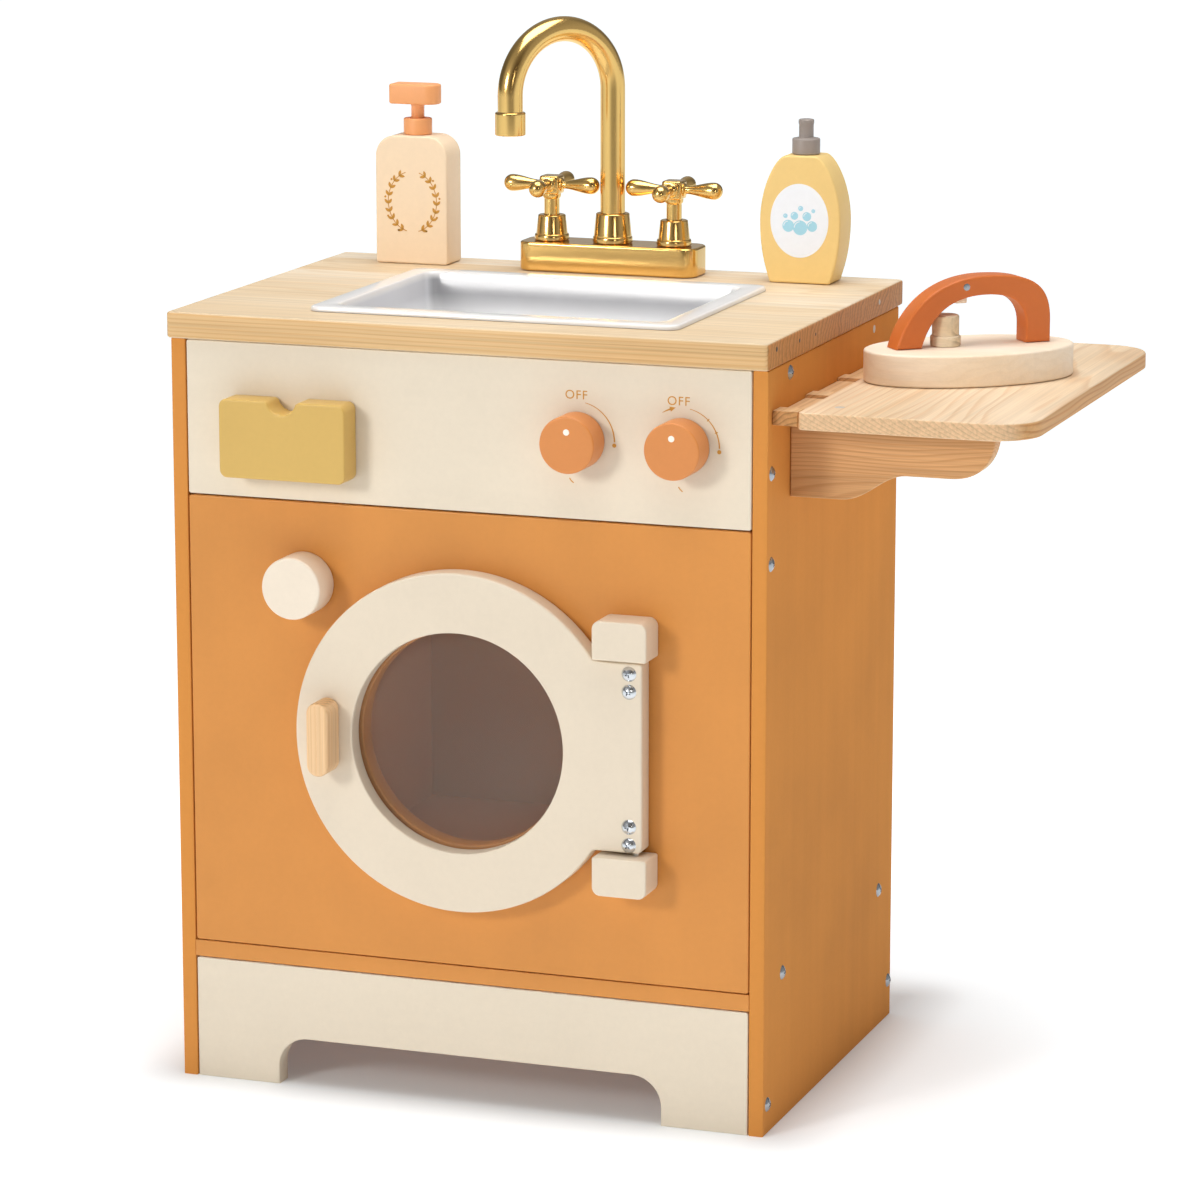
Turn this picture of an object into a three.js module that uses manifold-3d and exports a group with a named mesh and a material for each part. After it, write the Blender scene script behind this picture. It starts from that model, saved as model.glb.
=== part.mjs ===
// A wooden play washing machine with a sink, a tap, an ironing shelf and three loose accessories.
// Lengths are millimetres. The cabinet frame has x to the right from the cabinet's middle, y back
// from its front face and z up from the floor; the finished group is moved so that the middle of
// its own footprint is the origin.
import * as THREE from "three";
import { mergeVertices } from "three/addons/utils/BufferGeometryUtils.js";
import Module from "manifold-3d";

const wasm = await Module();
wasm.setup();

// Driving dimensions
const cabinet = {
  width: 400,
  depth: 286,
  sideHeight: 490,
  sideBoard: 10,
  frontBoard: 14,
  backBoard: 6,
  baseBoard: 11,
  kickHeight: 81.5,
  fasciaHeight: 100.5,
  batten: 16,
  battenSetback: 30,
  stretcherHeight: 24,
  stretcherLift: 14,
  stretcherThickness: 15,
};
const play = {
  seat: 0.3,
  slide: 0.5,
  knob: 0.6,
  door: 1,
  overrun: 2,
};
const plinth = { footWidth: 58, archHeight: 32, archRadius: 20 };
const worktop = { thickness: 17, sideOverhang: 2, frontOverhang: 3, backOverhang: 8, corner: 3 };

// Door, porthole and the compartment behind it
const door = {
  aboveMiddle: 7.5,
  ringRadius: 110,
  ringWidth: 39.5,
  thickness: 15,
  tabReach: 14,
  tabHalfHeight: 61,
  tabFillet: 4,
  hingeCornerRadius: 2,
  edge: 1.2,
};
const hinge = {
  axisInset: 5,
  axisDepth: 11.5,
  blockWidth: 36,
  blockHeight: 25,
  blockDepth: 24,
  blockOverlapX: 10.5,
  blockGap: 2.3,
  blockCorner: 5.5,
  blockSmallCorner: 1.6,
  edge: 0.7,
  pinRadius: 2,
  pinInTab: 4.5,
  pinInBlock: 12,
};
const windowPane = { lap: 5, thickness: 3 };
const windowRebate = { clearance: 0.5, depth: 3.4 };
const doorHandle = { width: 15, height: 48, depth: 20.5, inset: 23, edge: 1.5 };
const magnet = { radius: 4, thickness: 3, inset: 15 };
const compartment = { sideRoom: 31.5, floorRoom: 22.5, roofRoom: 6.5, depth: 185.7, board: 6 };

// Controls on the front
const drawer = {
  width: 86,
  height: 50.5,
  frontThickness: 20,
  corner: 5,
  sideDistance: 84.5,
  lift: 16,
  notchRadius: 10,
  notchDepth: 8.5,
  trayInset: 8.5,
  trayDrop: 11.5,
  trayLength: 118,
  trayWall: 3,
  trayLift: 6,
  edge: 1,
};
const drawerGuide = { wall: 4, room: 6 };
const dial = { radius: 18, depth: 20.5, edge: 1.5, lift: 50.5, sideDistance: 55.5, pitch: 68.5 };
const startKnob = { radius: 20, depth: 23.5, edge: 1.5, doorGap: 13.93, turnDegrees: 139.23 };
const shaft = { radius: 3, clearance: 0.4, washerRadius: 8, washerThickness: 1.6, tail: 5, socket: 12 };

// Sink and tap
const sink = {
  offMiddle: 7,
  frontRoom: 30.5,
  sideRoom: 77.75,
  backRoom: 28.5,
  rimHeight: 3,
  rimBand: 14,
  rimCorner: 12,
  wall: 2.5,
  basinDepth: 50,
  basinCorner: 11,
};
const sinkTaperShare = 0.955;
const tap = {
  offMiddle: 6.5,
  backDistance: 32,
  baseLength: 126,
  baseDepth: 34,
  baseHeight: 19.5,
  baseCorner: 10,
  baseEdge: 2,
  handleOffset: 43.5,
  spoutRadius: 8.4,
  bendRadius: 42,
  bendHeight: 103.5,
  spoutDrop: 10,
  spoutTurnDegrees: 34,
  spigotRadius: 5,
  spigotLength: 12,
  aeratorRadius: 10.2,
  aeratorHeight: 15.3,
  aeratorRecess: 5,
};
const collar = { flangeRadius: 13.5, lowerRadius: 12.8, upperRadius: 11.3, flangeHeight: 4.5, height: 19.8 };
const bonnet = { flangeRadius: 11.8, lowerRadius: 10.6, upperRadius: 9.3, flangeHeight: 4.5, height: 17 };
const crossHandle = {
  stemRadius: 5.2,
  stemInBonnet: 10,
  hubWidth: 14,
  hubHeight: 12.5,
  hubCorner: 2.5,
  hubEdge: 1,
  hubLift: 31,
  armReach: 34,
  armNeck: 2.7,
  armEnd: 5.8,
};
const bolt = { radius: 4, offset: 30, headRadius: 8, headHeight: 6 };

// Shelf on the right side
const shelf = {
  fall: 25.5,
  thickness: 11,
  frontSetback: 6,
  backOverhang: 46,
  width: 147.5,
  outerCorner: 30,
  innerCorner: 7,
  edge: 1.2,
};
const rail = { width: 15.7, height: 9, dip: 3.5, tooth: 34, frontSetback: 7, backSetback: 38 };
const railTeeth = 4;
const bracket = {
  tipSetback: 31.8,
  height: 49,
  thickness: 15,
  frontSetback: 45,
  backSetback: 43,
  edge: 0.8,
};

// Loose accessories
const soap = {
  outwards: 5.1,
  backDistance: 30.5,
  width: 52,
  height: 87,
  depth: 27,
  shoulder: 14,
  foot: 2,
  edge: 1.2,
  boreRadius: 5,
  boreDepth: 28,
};
const soapCollar = { radius: 9.75, height: 10.9, edge: 1 };
const pump = {
  stemRadius: 4.5,
  stemGap: 9.6,
  stemInBottle: 12,
  headLength: 34.5,
  headDepth: 18,
  headHeight: 13.6,
  headShift: 0.8,
  corner: 2.2,
  edge: 1.2,
};
const pumpSpring = { radius: 4, wire: 0.6 };
const detergent = {
  outwards: 6.15,
  backDistance: 32,
  footHalfWidth: 21.5,
  halfWidth: 27.8,
  topHalfWidth: 10,
  height: 84.5,
  bellyHeight: 41,
  depth: 26.5,
  edge: 2,
};
const detergentCap = {
  radius: 9.3,
  height: 10.4,
  nozzleRadius: 4.9,
  lipRadius: 5.2,
  lipHeight: 3,
  nozzleHeight: 12.5,
  edge: 1,
};
const iron = {
  inwards: 10,
  backwards: 1,
  turnDegrees: 40,
  halfLength: 71,
  halfWidth: 42,
  soleHeight: 20.5,
  edge: 1.2,
};
const ironHandle = { heel: 53, tip: 54.5, height: 44.7, thickness: 16.6, shift: 2.1, edge: 1.5 };
const ironKnob = {
  backwards: 15.2,
  aside: 3,
  lowerRadius: 9.8,
  lowerHeight: 6.5,
  radius: 8.7,
  height: 13.3,
  edge: 1.4,
  pinRadius: 2,
};

// Colours
const paint = {
  orange: new THREE.MeshStandardMaterial({ color: "#dd9650", roughness: 0.55, metalness: 0 }),
  cream: new THREE.MeshStandardMaterial({ color: "#eee0c8", roughness: 0.55, metalness: 0 }),
  mustard: new THREE.MeshStandardMaterial({ color: "#d9b24f", roughness: 0.55, metalness: 0 }),
  terracotta: new THREE.MeshStandardMaterial({ color: "#d9793f", roughness: 0.55, metalness: 0 }),
  peach: new THREE.MeshStandardMaterial({ color: "#f0a468", roughness: 0.55, metalness: 0 }),
  pine: new THREE.MeshStandardMaterial({ color: "#f0d6ae", roughness: 0.6, metalness: 0 }),
  birch: new THREE.MeshStandardMaterial({ color: "#efdcc0", roughness: 0.6, metalness: 0 }),
  vanilla: new THREE.MeshStandardMaterial({ color: "#f6dcb2", roughness: 0.55, metalness: 0 }),
  butter: new THREE.MeshStandardMaterial({ color: "#f1cf8a", roughness: 0.5, metalness: 0 }),
  taupe: new THREE.MeshStandardMaterial({ color: "#8b7d74", roughness: 0.8, metalness: 0 }),
  grey: new THREE.MeshStandardMaterial({ color: "#9c928c", roughness: 0.5, metalness: 0 }),
  white: new THREE.MeshStandardMaterial({ color: "#f2f3f5", roughness: 0.2, metalness: 0 }),
  gold: new THREE.MeshStandardMaterial({ color: "#d8a744", roughness: 0.25, metalness: 1 }),
  steel: new THREE.MeshStandardMaterial({ color: "#c9ccd0", roughness: 0.3, metalness: 1 }),
  clear: new THREE.MeshStandardMaterial({ color: "#e8eef0", roughness: 0.05, metalness: 0 }),
};

// How finely round shapes are cut into flat faces
const arcSteps = 3;
const curveSteps = 6;
const ringSides = 48;
const roundSides = 24;
const smallSides = 12;
const boltSides = 6;
const spoutSteps = 30;
const spoutSides = 14;
const spoutLengthSteps = 300;
const softEdge = 1.3;
const mergeTolerance = 1e-4;

// A closed three.js geometry as a solid that can be cut and joined.
function solidOf(geometry) {
  const bare = geometry.clone();
  bare.deleteAttribute("normal");
  bare.deleteAttribute("uv");
  const merged = mergeVertices(bare, mergeTolerance);
  return new wasm.Manifold(new wasm.Mesh({
    numProp: 3,
    vertProperties: new Float32Array(merged.attributes.position.array),
    triVerts: new Uint32Array(merged.index.array),
  }));
}

// A solid back as a three.js geometry.
function geometryOf(solid) {
  const { vertProperties, triVerts } = solid.getMesh();
  const geometry = new THREE.BufferGeometry();
  geometry.setAttribute("position", new THREE.BufferAttribute(new Float32Array(vertProperties), 3));
  geometry.setIndex(new THREE.BufferAttribute(new Uint32Array(triVerts), 1));
  geometry.computeVertexNormals();
  return geometry;
}

function cut(geometry, ...tools) {
  return geometryOf(tools.reduce((solid, tool) => solid.subtract(solidOf(tool)), solidOf(geometry)));
}

function join(geometry, ...others) {
  return geometryOf(others.reduce((solid, other) => solid.add(solidOf(other)), solidOf(geometry)));
}

// A box between two corners.
function block(x0, x1, y0, y1, z0, z1) {
  const geometry = new THREE.BoxGeometry(x1 - x0, y1 - y0, z1 - z0);
  return geometry.translate((x0 + x1) / 2, (y0 + y1) / 2, (z0 + z1) / 2);
}

// A cylinder along z from bottom to top.
function rod(radius, bottom, top, sides = roundSides) {
  const geometry = new THREE.CylinderGeometry(radius, radius, top - bottom, sides);
  return geometry.rotateX(Math.PI / 2).translate(0, 0, (bottom + top) / 2);
}

// A cylinder along y from front to back.
function rodY(radius, front, back, sides = roundSides) {
  const geometry = new THREE.CylinderGeometry(radius, radius, back - front, sides);
  return geometry.translate(0, (front + back) / 2, 0);
}

// A turned piece: points are [radius, height] from the bottom up, closed on the axis.
function turned(points, sides = roundSides) {
  const profile = points.map(([radius, height]) => new THREE.Vector2(radius, height));
  return new THREE.LatheGeometry(profile, sides).rotateX(Math.PI / 2);
}

// A turned knob along -y: its back is at y = 0 and its front face has a rounded rim.
function knob(radius, depth, edge, sides = roundSides) {
  const points = [[0, 0], [radius, 0], ...quarterArc(radius, depth, edge), [0, depth]];
  return turned(points, sides).rotateX(Math.PI / 2);
}

// The rounded rim of a turned piece that ends at this radius and height.
function quarterArc(radius, height, edge) {
  return Array.from({ length: arcSteps + 1 }, (_, i) => {
    const angle = (i / arcSteps) * (Math.PI / 2);
    return [radius - edge + edge * Math.cos(angle), height - edge + edge * Math.sin(angle)];
  });
}

// A rectangle with rounded corners about the origin; radii run from the lower left one, anticlockwise.
function roundedRectangle(width, height, radii) {
  const [r0, r1, r2, r3] = Array.isArray(radii) ? radii : [radii, radii, radii, radii];
  const [x, y] = [width / 2, height / 2];
  const shape = new THREE.Shape();
  shape.moveTo(-x + r0, -y);
  shape.lineTo(x - r1, -y);
  if (r1 > 0) shape.absarc(x - r1, -y + r1, r1, -Math.PI / 2, 0);
  shape.lineTo(x, y - r2);
  if (r2 > 0) shape.absarc(x - r2, y - r2, r2, 0, Math.PI / 2);
  shape.lineTo(-x + r3, y);
  if (r3 > 0) shape.absarc(-x + r3, y - r3, r3, Math.PI / 2, Math.PI);
  shape.lineTo(-x, -y + r0);
  if (r0 > 0) shape.absarc(-x + r0, -y + r0, r0, Math.PI, 1.5 * Math.PI);
  return shape;
}

// Adds an arc to an outline in a chosen number of straight steps.
function addArc(shape, x, y, radius, from, to, steps) {
  for (let i = 0; i <= steps; i += 1) {
    const angle = from + (i / steps) * (to - from);
    shape.lineTo(x + radius * Math.cos(angle), y + radius * Math.sin(angle));
  }
}

function roundHole(x, y, radius) {
  return new THREE.Path().absarc(x, y, radius, 0, 2 * Math.PI, true);
}

// The outline in x and z of a front board that spans the cabinet between two heights.
function boardOutline(low, high) {
  const shape = new THREE.Shape();
  shape.moveTo(-boardHalf, low);
  shape.lineTo(boardHalf, low);
  shape.lineTo(boardHalf, high);
  shape.lineTo(-boardHalf, high);
  shape.closePath();
  return shape;
}

// An outline given thickness along z from 0; edge rounds both rims inside the outline.
function slab(shape, thickness, edge = 0, curveSegments = arcSteps) {
  const geometry = new THREE.ExtrudeGeometry(shape, {
    depth: thickness - 2 * edge,
    curveSegments,
    bevelEnabled: edge > 0,
    bevelThickness: edge,
    bevelSize: edge,
    bevelOffset: -edge,
    bevelSegments: edge > softEdge ? 2 : 1,
  });
  return geometry.translate(0, 0, edge);
}

// The same, standing: the outline's y becomes z, and the thickness runs from y = 0 towards the front.
function upright(shape, thickness, edge = 0, curveSegments = arcSteps) {
  return slab(shape, thickness, edge, curveSegments).rotateX(Math.PI / 2);
}

function mesh(name, geometry, material) {
  const made = new THREE.Mesh(geometry, material);
  made.name = name;
  return made;
}

function groupAt(x, y, z, ...children) {
  const group = new THREE.Group();
  group.position.set(x, y, z);
  group.add(...children);
  return group;
}

// Places worked out from the driving dimensions
const halfWidth = cabinet.width / 2;
const innerHalf = halfWidth - cabinet.sideBoard;
const boardHalf = innerHalf - play.seat;
const baseTop = cabinet.kickHeight + cabinet.baseBoard;
const fasciaBottom = cabinet.sideHeight - cabinet.fasciaHeight;
const worktopBottom = cabinet.sideHeight;
const worktopTop = worktopBottom + worktop.thickness;
const backFront = cabinet.depth - cabinet.backBoard;
const battenFront = cabinet.battenSetback;
const battenBack = backFront - cabinet.battenSetback;
const battenTopHeight = cabinet.sideHeight - play.seat - cabinet.batten / 2;
const battenLowHeight = baseTop + play.seat + cabinet.batten / 2;
const stretcherTop = cabinet.stretcherLift + cabinet.stretcherHeight;
const worktopWidth = cabinet.width + 2 * worktop.sideOverhang;
const worktopBack = cabinet.depth + worktop.backOverhang;
const doorHeight = (cabinet.kickHeight + fasciaBottom) / 2 + door.aboveMiddle;
const windowRadius = door.ringRadius - door.ringWidth;
const hingeX = door.ringRadius + door.tabReach - hinge.axisInset;
const magnetX = door.ringRadius - magnet.inset;
const startKnobReach = door.ringRadius + startKnob.doorGap + startKnob.radius;
const startKnobTurn = THREE.MathUtils.degToRad(startKnob.turnDegrees);
const startKnobX = startKnobReach * Math.cos(startKnobTurn);
const startKnobHeight = doorHeight + startKnobReach * Math.sin(startKnobTurn);
const dialHeight = fasciaBottom + dial.lift;
const dialXs = [halfWidth - dial.sideDistance - dial.pitch, halfWidth - dial.sideDistance];

function makeSidePanel(side) {
  const inner = side * innerHalf;
  const outer = side * halfWidth;
  return block(Math.min(inner, outer), Math.max(inner, outer), 0, cabinet.depth, 0,
    cabinet.sideHeight - play.seat);
}

function makePlinth() {
  const top = cabinet.kickHeight - play.seat;
  const foot = boardHalf - plinth.footWidth;
  const shape = new THREE.Shape();
  shape.moveTo(-boardHalf, 0);
  shape.lineTo(-foot, 0);
  shape.lineTo(-foot, plinth.archHeight - plinth.archRadius);
  shape.absarc(-foot + plinth.archRadius, plinth.archHeight - plinth.archRadius, plinth.archRadius,
    Math.PI, Math.PI / 2, true);
  shape.lineTo(foot - plinth.archRadius, plinth.archHeight);
  shape.absarc(foot - plinth.archRadius, plinth.archHeight - plinth.archRadius, plinth.archRadius,
    Math.PI / 2, 0, true);
  shape.lineTo(foot, 0);
  shape.lineTo(boardHalf, 0);
  shape.lineTo(boardHalf, top);
  shape.lineTo(-boardHalf, top);
  shape.closePath();
  return upright(shape, cabinet.frontBoard).translate(0, cabinet.frontBoard, 0);
}

function makeFrontPanel() {
  const shape = boardOutline(baseTop + play.seat, fasciaBottom - play.seat);
  shape.holes = [
    roundHole(0, doorHeight, windowRadius - play.slide),
    roundHole(startKnobX, startKnobHeight, shaft.radius + shaft.clearance),
  ];
  const board = upright(shape, cabinet.frontBoard, 0, ringSides / 2).translate(0, cabinet.frontBoard, 0);
  const plateSeat = rodY(magnet.radius + play.seat, -play.overrun, magnet.thickness + play.seat, smallSides)
    .translate(-magnetX, 0, doorHeight);
  return cut(board, plateSeat);
}

const drawerX = drawer.sideDistance - halfWidth;
const drawerBottom = fasciaBottom + drawer.lift;
const trayHalf = drawer.width / 2 - drawer.trayInset;
const trayBottom = drawerBottom + drawer.trayLift;
const trayTop = drawerBottom + drawer.height - drawer.trayDrop;

function makeFascia() {
  const shape = boardOutline(fasciaBottom + play.seat, cabinet.sideHeight - play.seat);
  const mouth = new THREE.Path();
  const mouthHalf = trayHalf + play.slide;
  mouth.moveTo(drawerX - mouthHalf, trayBottom - play.slide);
  mouth.lineTo(drawerX - mouthHalf, trayTop + play.slide);
  mouth.lineTo(drawerX + mouthHalf, trayTop + play.slide);
  mouth.lineTo(drawerX + mouthHalf, trayBottom - play.slide);
  mouth.closePath();
  const shaftHoles = dialXs.map((x) => roundHole(x, dialHeight, shaft.radius + shaft.clearance));
  shape.holes = [mouth, ...shaftHoles];
  return upright(shape, cabinet.frontBoard, 0, smallSides / 2).translate(0, cabinet.frontBoard, 0);
}

// Openings in the worktop
const tapY = worktopBack - tap.backDistance;
const sinkFront = sink.frontRoom - worktop.frontOverhang;
const sinkBack = tapY - tap.baseDepth / 2 - sink.backRoom;
const rimWidth = worktopWidth - 2 * sink.sideRoom;
const rimDepth = sinkBack - sinkFront;
const basinHalfX = rimWidth / 2 - sink.rimBand + sink.wall;
const basinHalfY = rimDepth / 2 - sink.rimBand + sink.wall;
const sinkCentreY = sinkFront + rimDepth / 2;

function makeWorktop() {
  const depth = worktopBack + worktop.frontOverhang;
  const shape = roundedRectangle(worktopWidth, depth, worktop.corner);
  const board = slab(shape, worktop.thickness)
    .translate(0, worktopBack - depth / 2, worktopBottom);
  const basin = roundedRectangle(
    2 * (basinHalfX + play.slide), 2 * (basinHalfY + play.slide), sink.basinCorner + play.slide);
  const basinCut = slab(basin, worktop.thickness + 2 * play.overrun)
    .translate(sink.offMiddle, sinkCentreY, worktopBottom - play.overrun);
  const boltCuts = [-1, 1].map((side) =>
    rod(bolt.radius + play.seat, worktopBottom - play.overrun, worktopTop + play.overrun, smallSides)
      .translate(tap.offMiddle + side * bolt.offset, tapY, 0));
  return cut(board, basinCut, ...boltCuts);
}

function makeBatten(side, height) {
  const half = cabinet.batten / 2;
  const bar = block(-half, half, battenFront, battenBack, height - half, height + half);
  return bar.translate(side * (boardHalf - half), 0, 0);
}

function makeCabinet() {
  const base = block(-boardHalf, boardHalf, 0, backFront - play.seat, cabinet.kickHeight, baseTop);
  const back = block(-boardHalf, boardHalf, backFront, cabinet.depth, cabinet.kickHeight,
    cabinet.sideHeight - play.seat);
  const stretcher = block(-boardHalf, boardHalf, cabinet.depth - cabinet.stretcherThickness, cabinet.depth,
    cabinet.stretcherLift, stretcherTop);
  return groupAt(0, 0, 0,
    mesh("side_panel_left", makeSidePanel(-1), paint.orange),
    mesh("side_panel_right", makeSidePanel(1), paint.orange),
    mesh("plinth", makePlinth(), paint.cream),
    mesh("bottom_board", base, paint.orange),
    mesh("front_panel", makeFrontPanel(), paint.orange),
    mesh("control_panel", makeFascia(), paint.cream),
    mesh("back_panel", back, paint.orange),
    mesh("rear_stretcher", stretcher, paint.orange),
    mesh("worktop", makeWorktop(), paint.pine),
    mesh("top_batten_left", makeBatten(-1, battenTopHeight), paint.pine),
    mesh("top_batten_right", makeBatten(1, battenTopHeight), paint.pine),
    mesh("base_batten_left", makeBatten(-1, battenLowHeight), paint.pine),
    mesh("base_batten_right", makeBatten(1, battenLowHeight), paint.pine));
}

// The box of boards behind the porthole
function makeCompartment() {
  const front = cabinet.frontBoard + play.seat;
  const backFace = front + compartment.depth;
  const backBoard = backFace + play.seat;
  const inner = windowRadius + compartment.sideRoom;
  const outer = inner + compartment.board;
  const floorTop = doorHeight - windowRadius - compartment.floorRoom;
  const roofBottom = doorHeight + windowRadius + compartment.roofRoom;
  const low = floorTop - compartment.board;
  const high = roofBottom + compartment.board;
  return groupAt(0, 0, 0,
    mesh("compartment_wall_left", block(-outer, -inner, front, backFace, low, high), paint.taupe),
    mesh("compartment_wall_right", block(inner, outer, front, backFace, low, high), paint.taupe),
    mesh("compartment_floor",
      block(-inner + play.seat, inner - play.seat, front, backFace, low, floorTop), paint.taupe),
    mesh("compartment_roof",
      block(-inner + play.seat, inner - play.seat, front, backFace, roofBottom, high), paint.taupe),
    mesh("compartment_back",
      block(-outer, outer, backBoard, backBoard + compartment.board, low, high), paint.taupe));
}

// Door: everything here is measured from the hinge axis, at the door's middle height.
const tabRight = hinge.axisInset;
const doorBack = hinge.axisDepth - play.door;
const doorFront = doorBack - door.thickness;
const ringX = -hingeX;
const paneRadius = windowRadius + windowPane.lap;

// The ring with its tab in x and z: a circle, and a straight tab that a small fillet joins to it.
function doorOutline() {
  const rise = door.tabHalfHeight + door.tabFillet;
  const reach = door.ringRadius + door.tabFillet;
  const filletX = Math.sqrt(reach * reach - rise * rise);
  const turn = Math.atan2(rise, filletX);
  const shape = new THREE.Shape();
  shape.moveTo(tabRight, -door.tabHalfHeight);
  shape.lineTo(tabRight, door.tabHalfHeight);
  addArc(shape, ringX + filletX, rise, door.tabFillet, -Math.PI / 2, turn - Math.PI, arcSteps);
  addArc(shape, ringX, 0, door.ringRadius, turn, 2 * Math.PI - turn, ringSides);
  addArc(shape, ringX + filletX, -rise, door.tabFillet, Math.PI - turn, Math.PI / 2, arcSteps);
  return shape;
}

function makeDoorRing() {
  const shape = doorOutline();
  shape.holes = [roundHole(ringX, 0, windowRadius)];
  const plate = upright(shape, door.thickness, door.edge, ringSides / 2).translate(0, doorBack, 0);
  const rebate = rodY(paneRadius + windowRebate.clearance, doorBack - windowRebate.depth,
    doorBack + play.overrun, ringSides).translate(ringX, 0, 0);
  const magnetSeat = rodY(magnet.radius + play.seat, doorBack - magnet.thickness - play.seat,
    doorBack + play.overrun, smallSides).translate(ringX - magnetX, 0, 0);
  const pinSeats = [-1, 1].map((side) => {
    const end = door.tabHalfHeight;
    const deep = end - hinge.pinInTab - play.seat;
    const seat = rod(hinge.pinRadius + play.seat, deep, end + play.overrun, smallSides);
    return side > 0 ? seat : seat.rotateX(Math.PI);
  });
  return cut(plate, rebate, magnetSeat, hingeCornerCut(), ...pinSeats);
}

// What is cut from the tab's back right edge, so that the door turns clear of the panel.
function hingeCornerCut() {
  const radius = door.hingeCornerRadius;
  const tall = door.tabHalfHeight + play.overrun;
  const square = block(tabRight - radius, tabRight + play.overrun, doorBack - radius,
    doorBack + play.overrun, -tall, tall);
  const round = rod(radius, -tall - play.overrun, tall + play.overrun, roundSides)
    .translate(tabRight - radius, doorBack - radius, 0);
  return cut(square, round);
}

function makeDoor() {
  const pane = rodY(paneRadius, doorBack - windowRebate.depth + play.seat,
    doorBack - windowRebate.depth + play.seat + windowPane.thickness, ringSides)
    .translate(ringX, 0, 0);
  const handleX = ringX - door.ringRadius + doorHandle.inset;
  const bar = upright(
    roundedRectangle(doorHandle.width, doorHandle.height, doorHandle.width / 2 - play.seat),
    doorHandle.depth, doorHandle.edge).translate(handleX, doorFront - play.seat, 0);
  const pinStart = door.tabHalfHeight - hinge.pinInTab;
  const pinEnd = door.tabHalfHeight + hinge.blockGap + hinge.pinInBlock;
  const disc = rodY(magnet.radius, doorBack - magnet.thickness, doorBack, smallSides)
    .translate(ringX - magnetX, 0, 0);
  return groupAt(hingeX, -hinge.axisDepth, doorHeight,
    mesh("door_ring", makeDoorRing(), paint.cream),
    mesh("door_window", pane, paint.clear),
    mesh("door_handle", bar, paint.pine),
    mesh("door_pin_top", rod(hinge.pinRadius, pinStart, pinEnd, smallSides), paint.steel),
    mesh("door_pin_bottom", rod(hinge.pinRadius, -pinEnd, -pinStart, smallSides), paint.steel),
    mesh("door_magnet", disc, paint.steel));
}

function makeHingeBlock(side) {
  const corner = hinge.blockCorner;
  const small = hinge.blockSmallCorner;
  const radii = side > 0 ? [small, small, corner, corner] : [corner, corner, small, small];
  const low = door.tabHalfHeight + hinge.blockGap;
  const height = side * (low + hinge.blockHeight / 2);
  const body = upright(roundedRectangle(hinge.blockWidth, hinge.blockHeight, radii),
    hinge.blockDepth - play.seat, hinge.edge).translate(
    hingeX + hinge.blockOverlapX - hinge.blockWidth / 2, -play.seat, doorHeight + height);
  const deep = low + hinge.pinInBlock + play.seat;
  const bore = rod(hinge.pinRadius + play.seat, low - play.overrun, deep, smallSides);
  if (side < 0) bore.rotateX(Math.PI);
  bore.translate(hingeX, -hinge.axisDepth, doorHeight);
  return cut(body, bore);
}

function makeDoorFixings() {
  const plate = rodY(magnet.radius, 0, magnet.thickness, smallSides)
    .translate(-magnetX, play.seat / 2, doorHeight);
  return groupAt(0, 0, 0,
    mesh("hinge_block_top", makeHingeBlock(1), paint.cream),
    mesh("hinge_block_bottom", makeHingeBlock(-1), paint.cream),
    mesh("catch_plate", plate, paint.steel));
}

// Drawer: measured from the middle of its front's back face, at the bottom of the front.
function makeDrawer() {
  const notchZ = drawer.height + drawer.notchRadius - drawer.notchDepth;
  const shape = roundedRectangle(drawer.width, drawer.height, drawer.corner);
  const face = upright(shape, drawer.frontThickness, drawer.edge).translate(0, 0, drawer.height / 2);
  const notch = rodY(drawer.notchRadius, -drawer.frontThickness - play.overrun, play.overrun)
    .translate(0, 0, notchZ);
  const wall = drawer.trayWall;
  const trayHigh = drawer.height - drawer.trayDrop;
  const tray = cut(
    block(-trayHalf, trayHalf, play.seat, drawer.trayLength, drawer.trayLift, trayHigh),
    block(-trayHalf + wall, trayHalf - wall, play.seat + wall, drawer.trayLength - wall,
      drawer.trayLift + wall, trayHigh + play.overrun));
  return groupAt(drawerX, -play.slide, drawerBottom,
    mesh("drawer_front", cut(face, notch), paint.mustard),
    mesh("drawer_tray", tray, paint.birch));
}

function makeDrawerGuide() {
  const half = trayHalf + play.slide;
  const wall = drawerGuide.wall;
  const front = cabinet.frontBoard + play.seat;
  const back = front + drawer.trayLength + drawerGuide.room;
  const low = trayBottom - play.slide;
  const channel = cut(
    block(-half - wall, half + wall, front, back, low - wall, trayTop),
    block(-half, half, front - play.overrun, back - wall, low, trayTop + play.overrun));
  return mesh("drawer_guide", channel.translate(drawerX, 0, 0), paint.birch);
}

// A knob that turns about y with its shaft through a front board; both are one turning body.
function makeTurningKnob(name, { radius, depth, edge }, material) {
  const front = -play.knob;
  const hole = rodY(shaft.radius + play.seat, front - shaft.socket - play.seat, play.overrun, smallSides);
  const body = cut(knob(radius, depth, edge).translate(0, front, 0), hole);
  const washerFront = cabinet.frontBoard + play.seat;
  const washerBack = washerFront + shaft.washerThickness;
  const pin = join(
    rodY(shaft.radius, front - shaft.socket, washerBack + shaft.tail, smallSides),
    rodY(shaft.washerRadius, washerFront, washerBack, roundSides));
  return [mesh(name, body, material), mesh(`${name}_shaft`, pin, paint.steel)];
}

function makeControls() {
  const dials = ["dial_left", "dial_right"].map((name, i) =>
    groupAt(dialXs[i], 0, dialHeight, ...makeTurningKnob(name, dial, paint.terracotta)));
  const start = groupAt(startKnobX, 0, startKnobHeight,
    ...makeTurningKnob("start_knob", startKnob, paint.cream));
  return groupAt(0, 0, 0, makeDrawer(), makeDrawerGuide(), ...dials, start);
}

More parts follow.
